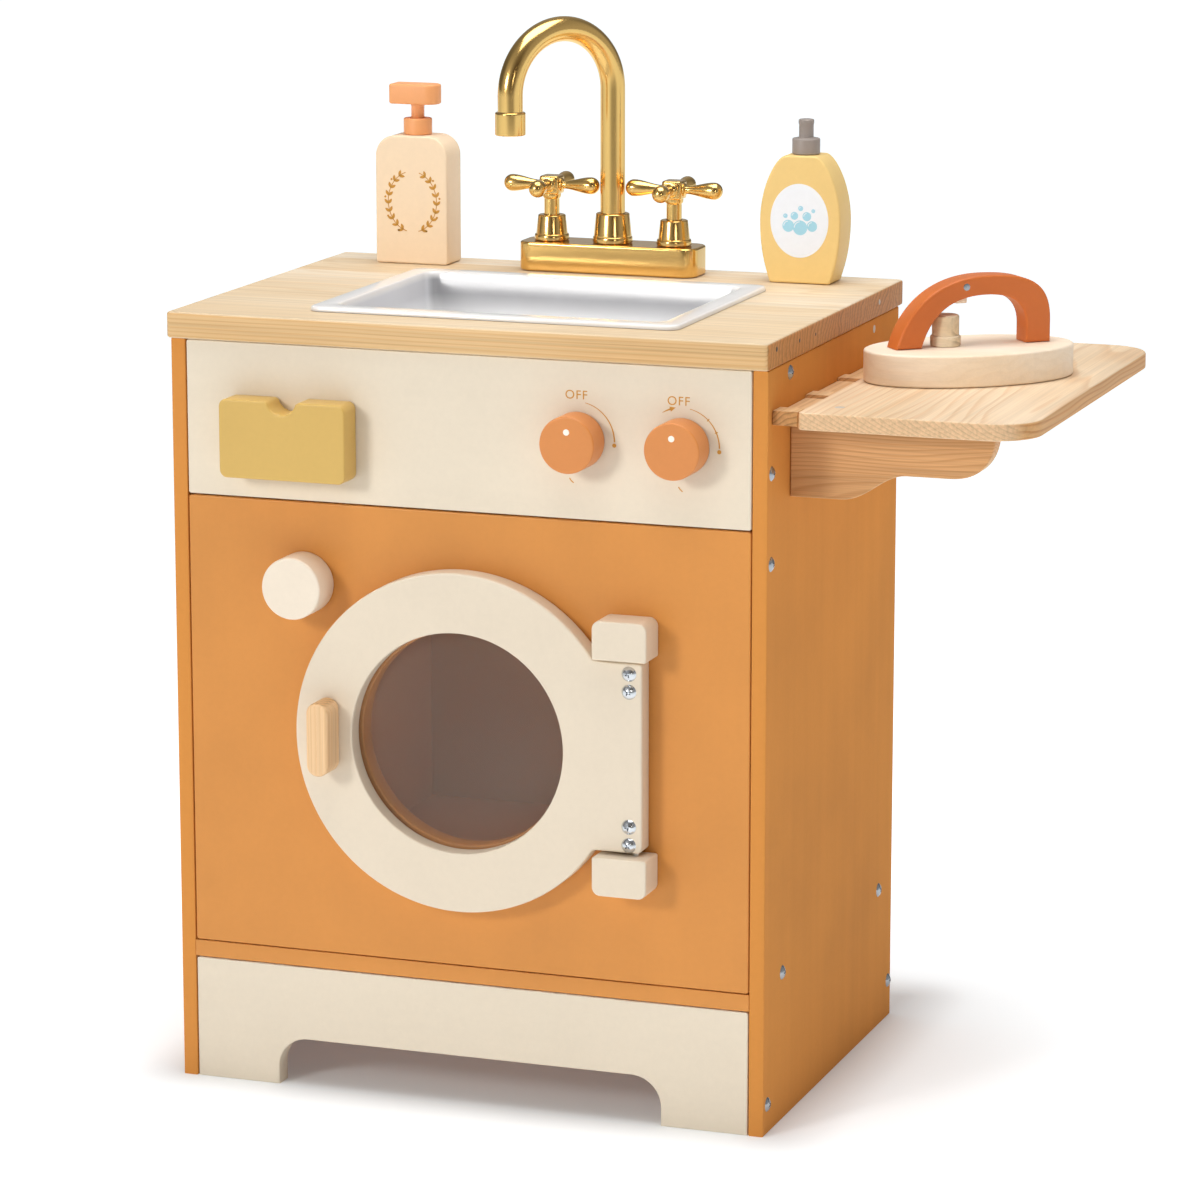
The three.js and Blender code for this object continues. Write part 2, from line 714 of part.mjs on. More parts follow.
// Sink: a rim that lies on the worktop and a basin whose walls lean in towards the floor.
function taperedBasin(halfX, halfY, corner, top, bottom) {
  const body = slab(roundedRectangle(2 * halfX, 2 * halfY, corner), top - bottom).translate(0, 0, bottom);
  const place = body.attributes.position;
  for (let i = 0; i < place.count; i += 1) {
    const share = (top - place.getZ(i)) / (top - bottom);
    const scale = 1 + share * (sinkTaperShare - 1);
    place.setX(i, place.getX(i) * scale);
    place.setY(i, place.getY(i) * scale);
  }
  return body;
}

function makeSink() {
  const rimTop = worktopTop + play.seat + sink.rimHeight;
  const rim = slab(roundedRectangle(rimWidth, rimDepth, sink.rimCorner),
    sink.rimHeight, sink.rimHeight / 3).translate(0, 0, worktopTop + play.seat);
  const floor = rimTop - sink.basinDepth - sink.wall;
  const outside = taperedBasin(basinHalfX, basinHalfY, sink.basinCorner, rimTop - sink.rimHeight / 2, floor);
  const inside = taperedBasin(basinHalfX - sink.wall, basinHalfY - sink.wall,
    sink.basinCorner - sink.wall, rimTop + play.overrun, floor + sink.wall);
  const basin = cut(join(rim, outside), inside);
  return groupAt(sink.offMiddle, sinkCentreY, 0, mesh("sink_basin", basin, paint.white));
}

// Tap: every turned piece stands on the base's top face.
const tapBaseTop = worktopTop + play.seat + tap.baseHeight;

function makeTapBase() {
  const body = slab(roundedRectangle(tap.baseLength, tap.baseDepth, tap.baseCorner),
    tap.baseHeight, tap.baseEdge).translate(0, 0, worktopTop + play.seat);
  const spigotBore = rod(tap.spigotRadius + play.seat, tapBaseTop - tap.spigotLength - play.seat,
    tapBaseTop + play.overrun, roundSides);
  const boltEnd = worktopTop + tap.baseHeight / 2 + play.seat;
  const boltBores = [-1, 1].map((side) =>
    rod(bolt.radius + play.seat, worktopTop - play.overrun, boltEnd, smallSides)
      .translate(side * bolt.offset, 0, 0));
  return cut(body, spigotBore, ...boltBores);
}

// A flanged cone on the tap base with a bore for what turns in it.
function makeFlangedCone({ flangeRadius, lowerRadius, upperRadius, flangeHeight, height }, bore, boreDepth) {
  const lip = flangeRadius - lowerRadius;
  const body = turned([
    [0, 0],
    [flangeRadius, 0],
    [flangeRadius, flangeHeight / 2],
    [flangeRadius - lip / 2, flangeHeight],
    [lowerRadius, flangeHeight],
    [upperRadius, height],
    [0, height],
  ]);
  const hole = rod(bore, height - boreDepth, height + play.overrun);
  return cut(body, hole);
}

// The spout's centre line: straight up, half a turn forward, and a short way down.
class SpoutPath extends THREE.Curve {
  getPoint(t) {
    const rise = tap.bendHeight - collar.flangeHeight;
    const bend = Math.PI * tap.bendRadius;
    const along = t * (rise + bend + tap.spoutDrop);
    if (along <= rise) return new THREE.Vector3(0, 0, collar.flangeHeight + along);
    if (along <= rise + bend) {
      const angle = (along - rise) / tap.bendRadius;
      return new THREE.Vector3(0, -tap.bendRadius * (1 - Math.cos(angle)),
        tap.bendHeight + tap.bendRadius * Math.sin(angle));
    }
    return new THREE.Vector3(0, -2 * tap.bendRadius, tap.bendHeight - (along - rise - bend));
  }
}

function makeSpout() {
  const section = new THREE.Shape().absarc(0, 0, tap.spoutRadius, 0, 2 * Math.PI);
  const path = new SpoutPath();
  path.arcLengthDivisions = spoutLengthSteps;
  const tube = new THREE.ExtrudeGeometry(section, {
    steps: spoutSteps,
    curveSegments: spoutSides / 2,
    extrudePath: path,
    bevelEnabled: false,
  });
  const spigot = rod(tap.spigotRadius, -tap.spigotLength, collar.flangeHeight + play.overrun, roundSides);
  return join(tube, spigot);
}

function makeAerator() {
  const top = tap.bendHeight - tap.spoutDrop - play.seat;
  const bottom = top - tap.aeratorHeight;
  const lip = tap.aeratorRadius - tap.spoutRadius;
  const cup = turned([[0, bottom], [tap.aeratorRadius, bottom], [tap.aeratorRadius, top - lip / 2],
    [tap.aeratorRadius - lip / 2, top], [0, top]]);
  const recess = rod(tap.spoutRadius, bottom - play.overrun, bottom + tap.aeratorRecess);
  return cut(cup, recess).translate(0, -2 * tap.bendRadius, 0);
}

// One arm of a cross handle along +x: a slim neck that swells to a round end.
function makeArm() {
  const { armReach, armNeck, armEnd, hubWidth } = crossHandle;
  const start = hubWidth / 2 - play.overrun;
  const middle = armReach - armEnd;
  const neck = Array.from({ length: arcSteps + 1 }, (_, i) => {
    const share = i / arcSteps;
    const swell = THREE.MathUtils.smoothstep(share, 0, 1);
    return [armNeck + (armEnd - armNeck) * swell, start + (middle - start) * share];
  });
  const tip = Array.from({ length: arcSteps }, (_, i) => {
    const angle = ((i + 1) / arcSteps) * (Math.PI / 2);
    return [i + 1 === arcSteps ? 0 : armEnd * Math.cos(angle), middle + armEnd * Math.sin(angle)];
  });
  return turned([[0, start], ...neck, ...tip], smallSides).rotateY(Math.PI / 2);
}

function makeCrossHandle() {
  const { hubWidth, hubHeight, hubCorner, hubEdge, hubLift, stemRadius, stemInBonnet } = crossHandle;
  const hub = slab(roundedRectangle(hubWidth, hubWidth, hubCorner), hubHeight, hubEdge)
    .translate(0, 0, hubLift);
  const stem = rod(stemRadius, bonnet.height - stemInBonnet, hubLift + play.overrun, roundSides);
  const armHeight = hubLift + hubHeight / 2;
  const arms = [0, 1, 2, 3].map((i) =>
    makeArm().rotateZ(i * Math.PI / 2).translate(0, 0, armHeight));
  return join(hub, stem, ...arms);
}

// A bolt from under the worktop: a six-sided head and a shank up into the tap's base.
function makeTapBolt() {
  const seat = worktopBottom - play.seat;
  return join(
    rod(bolt.headRadius, seat - bolt.headHeight, seat, boltSides),
    rod(bolt.radius, seat - play.overrun, worktopTop + tap.baseHeight / 2, smallSides));
}

function makeTap() {
  const turn = -THREE.MathUtils.degToRad(tap.spoutTurnDegrees);
  const spout = groupAt(0, 0, tapBaseTop,
    mesh("spout", makeSpout(), paint.gold),
    mesh("aerator", makeAerator(), paint.gold));
  spout.rotation.z = turn;
  const spoutBore = tap.spoutRadius + play.seat;
  const collarMesh = mesh("spout_collar",
    makeFlangedCone(collar, spoutBore, collar.height - collar.flangeHeight + play.overrun), paint.gold);
  const through = rod(tap.spigotRadius + play.seat, -play.overrun, collar.height);
  collarMesh.geometry = cut(collarMesh.geometry, through);
  const spoutSeat = groupAt(0, 0, tapBaseTop + play.seat, collarMesh);
  const handles = [["left", -1], ["right", 1]].flatMap(([word, side]) => {
    const base = groupAt(side * tap.handleOffset, 0, tapBaseTop + play.seat,
      mesh(`bonnet_${word}`,
        makeFlangedCone(bonnet, crossHandle.stemRadius + play.seat, crossHandle.stemInBonnet + play.seat),
        paint.gold));
    const handle = groupAt(side * tap.handleOffset, 0, tapBaseTop + play.seat,
      mesh(`cross_handle_${word}`, makeCrossHandle(), paint.gold));
    return [base, handle];
  });
  const bolts = [["left", -1], ["right", 1]].map(([word, side]) =>
    mesh(`tap_bolt_${word}`, makeTapBolt().translate(side * bolt.offset, 0, 0), paint.steel));
  return groupAt(tap.offMiddle, tapY, 0,
    mesh("tap_base", makeTapBase(), paint.gold), spoutSeat, spout, ...handles, ...bolts);
}

// Shelf: a board and a toothed rail on two shaped brackets, outside the right side panel.
const shelfLeft = halfWidth + 2 * play.seat + rail.width;
const shelfLength = cabinet.depth + shelf.backOverhang - shelf.frontSetback;
const shelfX = shelfLeft + shelf.width / 2;
const shelfY = shelf.frontSetback + shelfLength / 2;
const shelfTop = cabinet.sideHeight - shelf.fall;
const shelfBottom = shelfTop - shelf.thickness;
const bracketReach = shelfLeft + shelf.width - bracket.tipSetback - halfWidth;

function makeShelfBoard() {
  const shape = roundedRectangle(shelf.width, shelfLength,
    [shelf.innerCorner, shelf.outerCorner, shelf.outerCorner, shelf.innerCorner]);
  return slab(shape, shelf.thickness, shelf.edge)
    .translate(shelfX, shelfY, shelfBottom);
}

// The rail between the board and the side panel: its top stands in four teeth.
function makeShelfRail() {
  const front = rail.frontSetback;
  const back = cabinet.depth - rail.backSetback;
  const left = halfWidth + play.seat;
  const right = left + rail.width;
  const bar = block(left, right, front, back, shelfTop - rail.height, shelfTop);
  const pitch = (back - front - rail.tooth) / (railTeeth - 1);
  const dips = Array.from({ length: railTeeth - 1 }, (_, i) => {
    const start = front + i * pitch + rail.tooth;
    return block(left - play.overrun, right + play.overrun, start, start + pitch - rail.tooth,
      shelfTop - rail.dip, shelfTop + play.overrun);
  });
  return cut(bar, ...dips);
}

// The bracket's lower edge falls and rises in two soft bends from the wall to its tip.
const bracketEdgeShares = [
  [0.25, 1], [0.38, 1], [0.45, 0.65], [0.57, 0.65],
  [0.78, 0.65], [0.95, 0.65], [1, 0.35], [1, 0],
];

function makeBracket(front) {
  const top = shelfBottom - play.seat;
  const [flatEnd, c1, c2, waist, hip, c3, c4, tip] = bracketEdgeShares.map(([along, down]) =>
    [halfWidth + play.seat + along * (bracketReach - play.seat), top - down * bracket.height]);
  const shape = new THREE.Shape();
  shape.moveTo(halfWidth + play.seat, top);
  shape.lineTo(halfWidth + play.seat, top - bracket.height);
  shape.lineTo(...flatEnd);
  shape.bezierCurveTo(...c1, ...c2, ...waist);
  shape.lineTo(...hip);
  shape.bezierCurveTo(...c3, ...c4, ...tip);
  shape.closePath();
  return upright(shape, bracket.thickness, bracket.edge, curveSteps)
    .translate(0, front + bracket.thickness, 0);
}

function makeShelf() {
  return groupAt(0, 0, 0,
    mesh("shelf_board", makeShelfBoard(), paint.pine),
    mesh("shelf_rail", makeShelfRail(), paint.pine),
    mesh("bracket_front", makeBracket(bracket.frontSetback), paint.pine),
    mesh("bracket_rear", makeBracket(cabinet.depth - bracket.backSetback), paint.pine));
}

// The middle of the free worktop between the tap's base and each end
const freeLeftX = (tap.offMiddle - tap.baseLength / 2 - worktopWidth / 2) / 2;
const freeRightX = (tap.offMiddle + tap.baseLength / 2 + worktopWidth / 2) / 2;

// Soap dispenser: measured from the middle of the bottle's foot.
function makeSoap() {
  const corners = [soap.foot, soap.foot, soap.shoulder, soap.shoulder];
  const shape = roundedRectangle(soap.width, soap.height, corners);
  const body = upright(shape, soap.depth, soap.edge).translate(0, soap.depth / 2, soap.height / 2);
  const bore = rod(soap.boreRadius, soap.height - soap.boreDepth, soap.height + play.overrun);
  const collarBottom = soap.height + play.seat;
  const collarTop = collarBottom + soapCollar.height;
  const ring = cut(
    turned([[0, collarBottom], [soapCollar.radius, collarBottom],
      ...quarterArc(soapCollar.radius, collarTop, soapCollar.edge), [0, collarTop]]),
    rod(soap.boreRadius, collarBottom - play.overrun, collarTop + play.overrun));
  const headBottom = collarTop + pump.stemGap;
  const stemBottom = soap.height - pump.stemInBottle;
  const headShape = roundedRectangle(pump.headLength, pump.headDepth,
    [pump.corner, pump.headDepth / 2 - play.seat, pump.headDepth / 2 - play.seat, pump.corner]);
  const head = join(
    slab(headShape, pump.headHeight, pump.edge).translate(-pump.headShift, 0, headBottom),
    rod(pump.stemRadius, stemBottom, headBottom + play.overrun));
  const springBottom = soap.height - soap.boreDepth + play.seat;
  const spring = cut(
    rod(pumpSpring.radius, springBottom, stemBottom - play.seat, smallSides),
    rod(pumpSpring.radius - pumpSpring.wire, springBottom - play.overrun, stemBottom + play.overrun,
      smallSides));
  return groupAt(freeLeftX - soap.outwards, worktopBack - soap.backDistance, worktopTop + play.seat,
    mesh("soap_bottle", cut(body, bore), paint.vanilla),
    mesh("soap_collar", ring, paint.peach),
    mesh("soap_pump", head, paint.peach),
    mesh("soap_spring", spring, paint.steel));
}

// Detergent bottle: its outline swells from the foot to the belly and closes in a round shoulder.
const detergentSideShares = { low: [0.62, 0.33], lowEnd: [1, 0.6], high: [1, 0.54], highEnd: [0.36, 1] };

function makeDetergent() {
  const { footHalfWidth: foot, halfWidth: belly, topHalfWidth: neck, height, bellyHeight, edge } = detergent;
  const { low, lowEnd, high, highEnd } = detergentSideShares;
  const sideAt = ([out, up]) => [foot + out * (belly - foot), up * bellyHeight];
  const shoulderAt = ([out, up]) => [neck + out * (belly - neck), bellyHeight + up * (height - bellyHeight)];
  const mirrored = ([x, z]) => [-x, z];
  const [side1, side2] = [sideAt(low), sideAt(lowEnd)];
  const [shoulder1, shoulder2] = [shoulderAt(high), shoulderAt(highEnd)];
  const shape = new THREE.Shape();
  shape.moveTo(-foot + edge, 0);
  shape.lineTo(foot - edge, 0);
  shape.lineTo(foot, edge);
  shape.bezierCurveTo(...side1, ...side2, belly, bellyHeight);
  shape.bezierCurveTo(...shoulder1, ...shoulder2, neck, height);
  shape.lineTo(-neck, height);
  shape.bezierCurveTo(...mirrored(shoulder2), ...mirrored(shoulder1), -belly, bellyHeight);
  shape.bezierCurveTo(...mirrored(side2), ...mirrored(side1), -foot, edge);
  shape.closePath();
  const body = upright(shape, detergent.depth, edge, curveSteps).translate(0, detergent.depth / 2, 0);
  const cap = detergentCap;
  const bottom = height + play.seat;
  const step = bottom + cap.height;
  const top = step + cap.nozzleHeight;
  const lid = turned([
    [0, bottom],
    [cap.radius, bottom],
    ...quarterArc(cap.radius, step, cap.edge),
    [cap.nozzleRadius, step],
    [cap.nozzleRadius, top - cap.lipHeight],
    [cap.lipRadius, top - cap.lipHeight / 2],
    ...quarterArc(cap.lipRadius, top, cap.edge),
    [0, top],
  ]);
  const y = worktopBack - detergent.backDistance;
  return groupAt(freeRightX + detergent.outwards, y, worktopTop + play.seat,
    mesh("detergent_bottle", body, paint.butter),
    mesh("detergent_cap", lid, paint.grey));
}

// Iron: measured from the middle of its sole, with x towards the tip.
function makeSole() {
  const shape = new THREE.Shape();
  for (let i = 0; i < ringSides; i += 1) {
    const angle = (i / ringSides) * 2 * Math.PI;
    const point = [iron.halfLength * Math.cos(angle), iron.halfWidth * Math.sin(angle)];
    if (i === 0) shape.moveTo(...point);
    else shape.lineTo(...point);
  }
  shape.closePath();
  const body = slab(shape, iron.soleHeight, iron.edge);
  const knobBore = rod(ironKnob.pinRadius + play.seat, iron.soleHeight / 2 - play.seat,
    iron.soleHeight + play.overrun, smallSides).translate(-ironKnob.backwards, ironKnob.aside, 0);
  return cut(body, knobBore);
}

// The handle's arch: a long lean at the heel and an upright leg at the tip.
const ironArchShares = {
  outerHeel: [[0.07, 0.6], [0.27, 1], [0.58, 1]],
  outerTip: [[0.86, 1], [1, 0.86], [1, 0.32]],
  innerTip: [[0.842, 0.26], [0.838, 0.57], [0.755, 0.72], [0.58, 0.72]],
  innerHeel: [[0.38, 0.72], [0.23, 0.53], [0.165, 0]],
};

function makeIronHandle() {
  const length = ironHandle.tip + ironHandle.heel;
  const at = ([along, up]) => [along * length - ironHandle.heel, up * ironHandle.height];
  const { outerHeel, outerTip, innerTip, innerHeel } = ironArchShares;
  const curve = (shape, points) => shape.bezierCurveTo(...points.flatMap(at));
  const shape = new THREE.Shape();
  shape.moveTo(...at([0, 0]));
  shape.lineTo(...at(innerHeel[2]));
  curve(shape, [innerHeel[1], innerHeel[0], innerTip[3]]);
  curve(shape, [innerTip[2], innerTip[1], innerTip[0]]);
  shape.lineTo(...at([innerTip[0][0], 0]));
  shape.lineTo(...at([1, 0]));
  shape.lineTo(...at(outerTip[2]));
  curve(shape, [outerTip[1], outerTip[0], outerHeel[2]]);
  curve(shape, [outerHeel[1], outerHeel[0], [0, 0]]);
  return upright(shape, ironHandle.thickness, ironHandle.edge, curveSteps)
    .translate(0, ironHandle.thickness / 2 + ironHandle.shift, iron.soleHeight + play.seat);
}

// The iron's knob has two tiers and a pin that sits in the sole.
function makeIronKnob() {
  const { lowerRadius, lowerHeight, radius, height, edge, pinRadius } = ironKnob;
  const bottom = iron.soleHeight + play.seat;
  const step = bottom + lowerHeight;
  const top = step + height;
  return join(
    turned([
      [0, bottom],
      [lowerRadius, bottom],
      ...quarterArc(lowerRadius, step, edge / 2),
      [radius, step],
      ...quarterArc(radius, top, edge),
      [0, top],
    ]),
    rod(pinRadius, iron.soleHeight / 2, bottom + play.overrun, smallSides));
}

function makeIron() {
  const group = groupAt(shelfX - iron.inwards, shelfY + iron.backwards, shelfTop + play.seat,
    mesh("iron_sole", makeSole(), paint.birch),
    mesh("iron_handle", makeIronHandle(), paint.terracotta),
    groupAt(-ironKnob.backwards, ironKnob.aside, 0, mesh("iron_knob", makeIronKnob(), paint.birch)));
  group.rotation.z = THREE.MathUtils.degToRad(iron.turnDegrees);
  return group;
}

// The finished toy, moved so that the middle of its own footprint is the origin
const toy = new THREE.Group();
toy.add(makeCabinet(), makeCompartment(), makeDoor(), makeDoorFixings(), makeControls(), makeSink(),
  makeTap(), makeShelf(), makeSoap(), makeDetergent(), makeIron());
toy.updateMatrixWorld(true);
const extent = new THREE.Box3().setFromObject(toy, true);
const middle = extent.getCenter(new THREE.Vector3());
toy.position.set(-middle.x, -middle.y, -extent.min.z);

export default toy;
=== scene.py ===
import math
from types import SimpleNamespace as Sizes

import bmesh
import bpy
from mathutils import Matrix, Vector


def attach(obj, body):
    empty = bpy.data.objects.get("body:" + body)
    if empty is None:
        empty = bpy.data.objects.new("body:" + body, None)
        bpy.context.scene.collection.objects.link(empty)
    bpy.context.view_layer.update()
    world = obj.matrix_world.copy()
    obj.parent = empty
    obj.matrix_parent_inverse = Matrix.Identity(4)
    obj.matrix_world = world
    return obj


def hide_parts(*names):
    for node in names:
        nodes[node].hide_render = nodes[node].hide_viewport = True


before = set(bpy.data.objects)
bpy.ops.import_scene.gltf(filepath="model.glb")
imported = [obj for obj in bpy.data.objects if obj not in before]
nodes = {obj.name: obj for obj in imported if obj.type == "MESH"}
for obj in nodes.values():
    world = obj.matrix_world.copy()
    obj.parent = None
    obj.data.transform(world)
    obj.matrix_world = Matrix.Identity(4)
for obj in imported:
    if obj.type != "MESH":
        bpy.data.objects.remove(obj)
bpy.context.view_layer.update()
scene = bpy.context.scene

MM = 0.001
SHIFT = Vector((-80.9, -147.6, 0.0))
QUARTER = math.pi / 2

# Places that several sections share
LEFT_FACE = -200.0
RIGHT_FACE = 200.0
TOP = 507.0
SEAT = 0.3
DOOR_MIDDLE = 243.0
START_KNOB = (-109.0, 337.0)
DIALS = ((76.0, 440.0), (144.5, 440.0))
SINK = (7.0, 122.0)
TAP = (6.5, 262.0)


# Materials

def new_material(name):
    """A material with one Principled shader and the object's own coordinates."""
    mat = bpy.data.materials.new(name)
    mat.use_nodes = True
    tree = mat.node_tree
    shader = tree.nodes["Principled BSDF"]
    where = tree.nodes.new("ShaderNodeTexCoord").outputs["Object"]
    return mat, tree, shader, where


def node(tree, kind, inputs=None, **settings):
    made = tree.nodes.new(kind)
    for key, value in settings.items():
        setattr(made, key, value)
    for key, value in (inputs or {}).items():
        if isinstance(value, bpy.types.NodeSocket):
            tree.links.new(value, made.inputs[key])
        else:
            made.inputs[key].default_value = value
    return made


def calc(tree, operation, a, b=0.0, c=0.0):
    return node(tree, "ShaderNodeMath", {0: a, 1: b, 2: c}, operation=operation).outputs[0]


def between(tree, value, low, high):
    """0 at low and 1 at high, with a straight slope in between."""
    made = node(tree, "ShaderNodeMapRange", {"Value": value, "From Min": low, "From Max": high})
    return made.outputs["Result"]


def parts_of(tree, vector):
    return node(tree, "ShaderNodeSeparateXYZ", {"Vector": vector}).outputs


def facing(tree):
    """The parts of the surface's own direction."""
    return parts_of(tree, tree.nodes["Texture Coordinate"].outputs["Normal"])


def front_faces(tree):
    """1 on faces that look to the front, 0 on the others."""
    return between(tree, facing(tree)["Y"], -0.4, -0.8)


def rgb(code, share=1.0):
    """A colour written as six hex digits, as linear light with alpha."""
    values = [int(code[i:i + 2], 16) / 255 for i in (0, 2, 4)]
    linear = [v / 12.92 if v <= 0.04045 else ((v + 0.055) / 1.055) ** 2.4 for v in values]
    return (*(min(1.0, v * share) for v in linear), 1.0)


def as_colour(value):
    """A bare number stands for a grey of that brightness."""
    return (value, value, value, 1.0) if isinstance(value, (int, float)) else value


def fixed(shader, values):
    for key, value in values.items():
        shader.inputs[key].default_value = value


def noise(tree, where, scale, detail=2.0, roughness=0.5, offset=(0, 0, 0)):
    """Smooth noise. A scale of three numbers stretches it, and then offset moves it."""
    if isinstance(scale, tuple):
        stretched = node(tree, "ShaderNodeMapping", {"Vector": where, "Scale": scale, "Location": offset})
        where, scale = stretched.outputs["Vector"], 1.0
    return node(tree, "ShaderNodeTexNoise", {
        "Vector": where, "Scale": scale, "Detail": detail, "Roughness": roughness}).outputs["Fac"]


def ramp(tree, fac, stops):
    made = node(tree, "ShaderNodeValToRGB", {"Fac": fac})
    elements = made.color_ramp.elements
    while len(elements) < len(stops):
        elements.new(0.5)
    for element, (place, colour) in zip(elements, stops):
        element.position = place
        element.color = as_colour(colour)
    return made.outputs["Color"]


def mix(tree, a, b, fac, mode="MIX"):
    made = node(tree, "ShaderNodeMix", data_type="RGBA", blend_type=mode)
    factor, first, second = (made.inputs[i] for i in (0, 6, 7))
    for value, socket in ((fac, factor), (as_colour(a), first), (as_colour(b), second)):
        if isinstance(value, bpy.types.NodeSocket):
            tree.links.new(value, socket)
        else:
            socket.default_value = value
    return made.outputs[2]


def tinted(tree, colour, tint):
    return mix(tree, colour, tint, 1.0, "MULTIPLY")


def bump(tree, shader, height, strength, distance):
    made = node(tree, "ShaderNodeBump", {"Height": height, "Strength": strength, "Distance": distance})
    tree.links.new(made.outputs["Normal"], shader.inputs["Normal"])


def varied_roughness(tree, shader, fac, low, high):
    made = node(tree, "ShaderNodeMapRange", {"Value": fac, "To Min": low, "To Max": high})
    tree.links.new(made.outputs["Result"], shader.inputs["Roughness"])


def paint(name, code, deep=0.93, light=1.05, low=0.34, high=0.44, grain=None, grain_share=0.985,
          shine=0.42, peel_depth=0.1, front=None):
    """Sprayed paint on wood: slow mottling from deep to light, fine orange peel and, with grain, the
    fibres that show through. front is the even colour of the faces that look to the front."""
    mat, tree, shader, where = new_material(name)
    slow = noise(tree, where, 9.0, 3.0, 0.55)
    colour = ramp(tree, slow, [(0.3, rgb(code, deep)), (0.5, rgb(code)), (0.72, rgb(code, light))])
    if front:
        colour = mix(tree, colour, rgb(front), front_faces(tree))
    fine = noise(tree, where, 260.0, 3.0, 0.6)
    colour = tinted(tree, colour, ramp(tree, fine, [(0.3, 0.975), (0.7, 1.0)]))
    height = noise(tree, where, 620.0)
    if grain:
        lines = noise(tree, where, grain, 4.0, 0.6)
        colour = tinted(tree, colour, ramp(tree, lines, [(0.35, grain_share), (0.65, 1.0)]))
        height = calc(tree, "ADD", height, lines)
    tree.links.new(colour, shader.inputs["Base Color"])
    varied_roughness(tree, shader, slow, low, high)
    bump(tree, shader, height, peel_depth, 0.0002)
    fixed(shader, {"Specular IOR Level": shine})
    return mat


def glued_strips(tree, far, side, up, stave, seed):
    """Gives each strip of a glued board its own tone and its own place in the tree."""
    strip = calc(tree, "FLOOR", calc(tree, "DIVIDE", side, stave))
    strip = calc(tree, "ADD", strip, seed)
    tone = node(tree, "ShaderNodeTexWhiteNoise", {"W": strip}, noise_dimensions="1D").outputs["Value"]
    shares = ((3.7, far), (0.11, side), (0.05, up))
    return tone, *(calc(tree, "MULTIPLY_ADD", tone, share, place) for share, place in shares)


def sawn_end(tree, where, colour, end, arcs, depth):
    """The darker, porous look of wood across its grain."""
    pores = noise(tree, where, (500.0, 500.0, 330.0), 3.0, 0.7)
    sawn = mix(tree, colour, rgb(end), 0.7)
    sawn = tinted(tree, sawn, mix(tree, 1.0, 1.0 - depth, arcs))
    return tinted(tree, sawn, ramp(tree, pores, [(0.36, 0.84), (0.6, 1.0)]))


def leaning_rings(tree, where, side, up, slope, rings):
    """Growth rings that cross a sawn end as slanted, wavy lines."""
    leaning = calc(tree, "ADD", side, calc(tree, "MULTIPLY", up, slope))
    waves = calc(tree, "MULTIPLY", noise(tree, where, (1.0, 22.0, 38.0)), 5.0)
    slant = calc(tree, "FRACT", calc(tree, "MULTIPLY_ADD", leaning, rings, waves))
    return ramp(tree, slant, [(0.0, 0.0), (0.55, 0.25), (0.85, 1.0), (1.0, 0.0)])


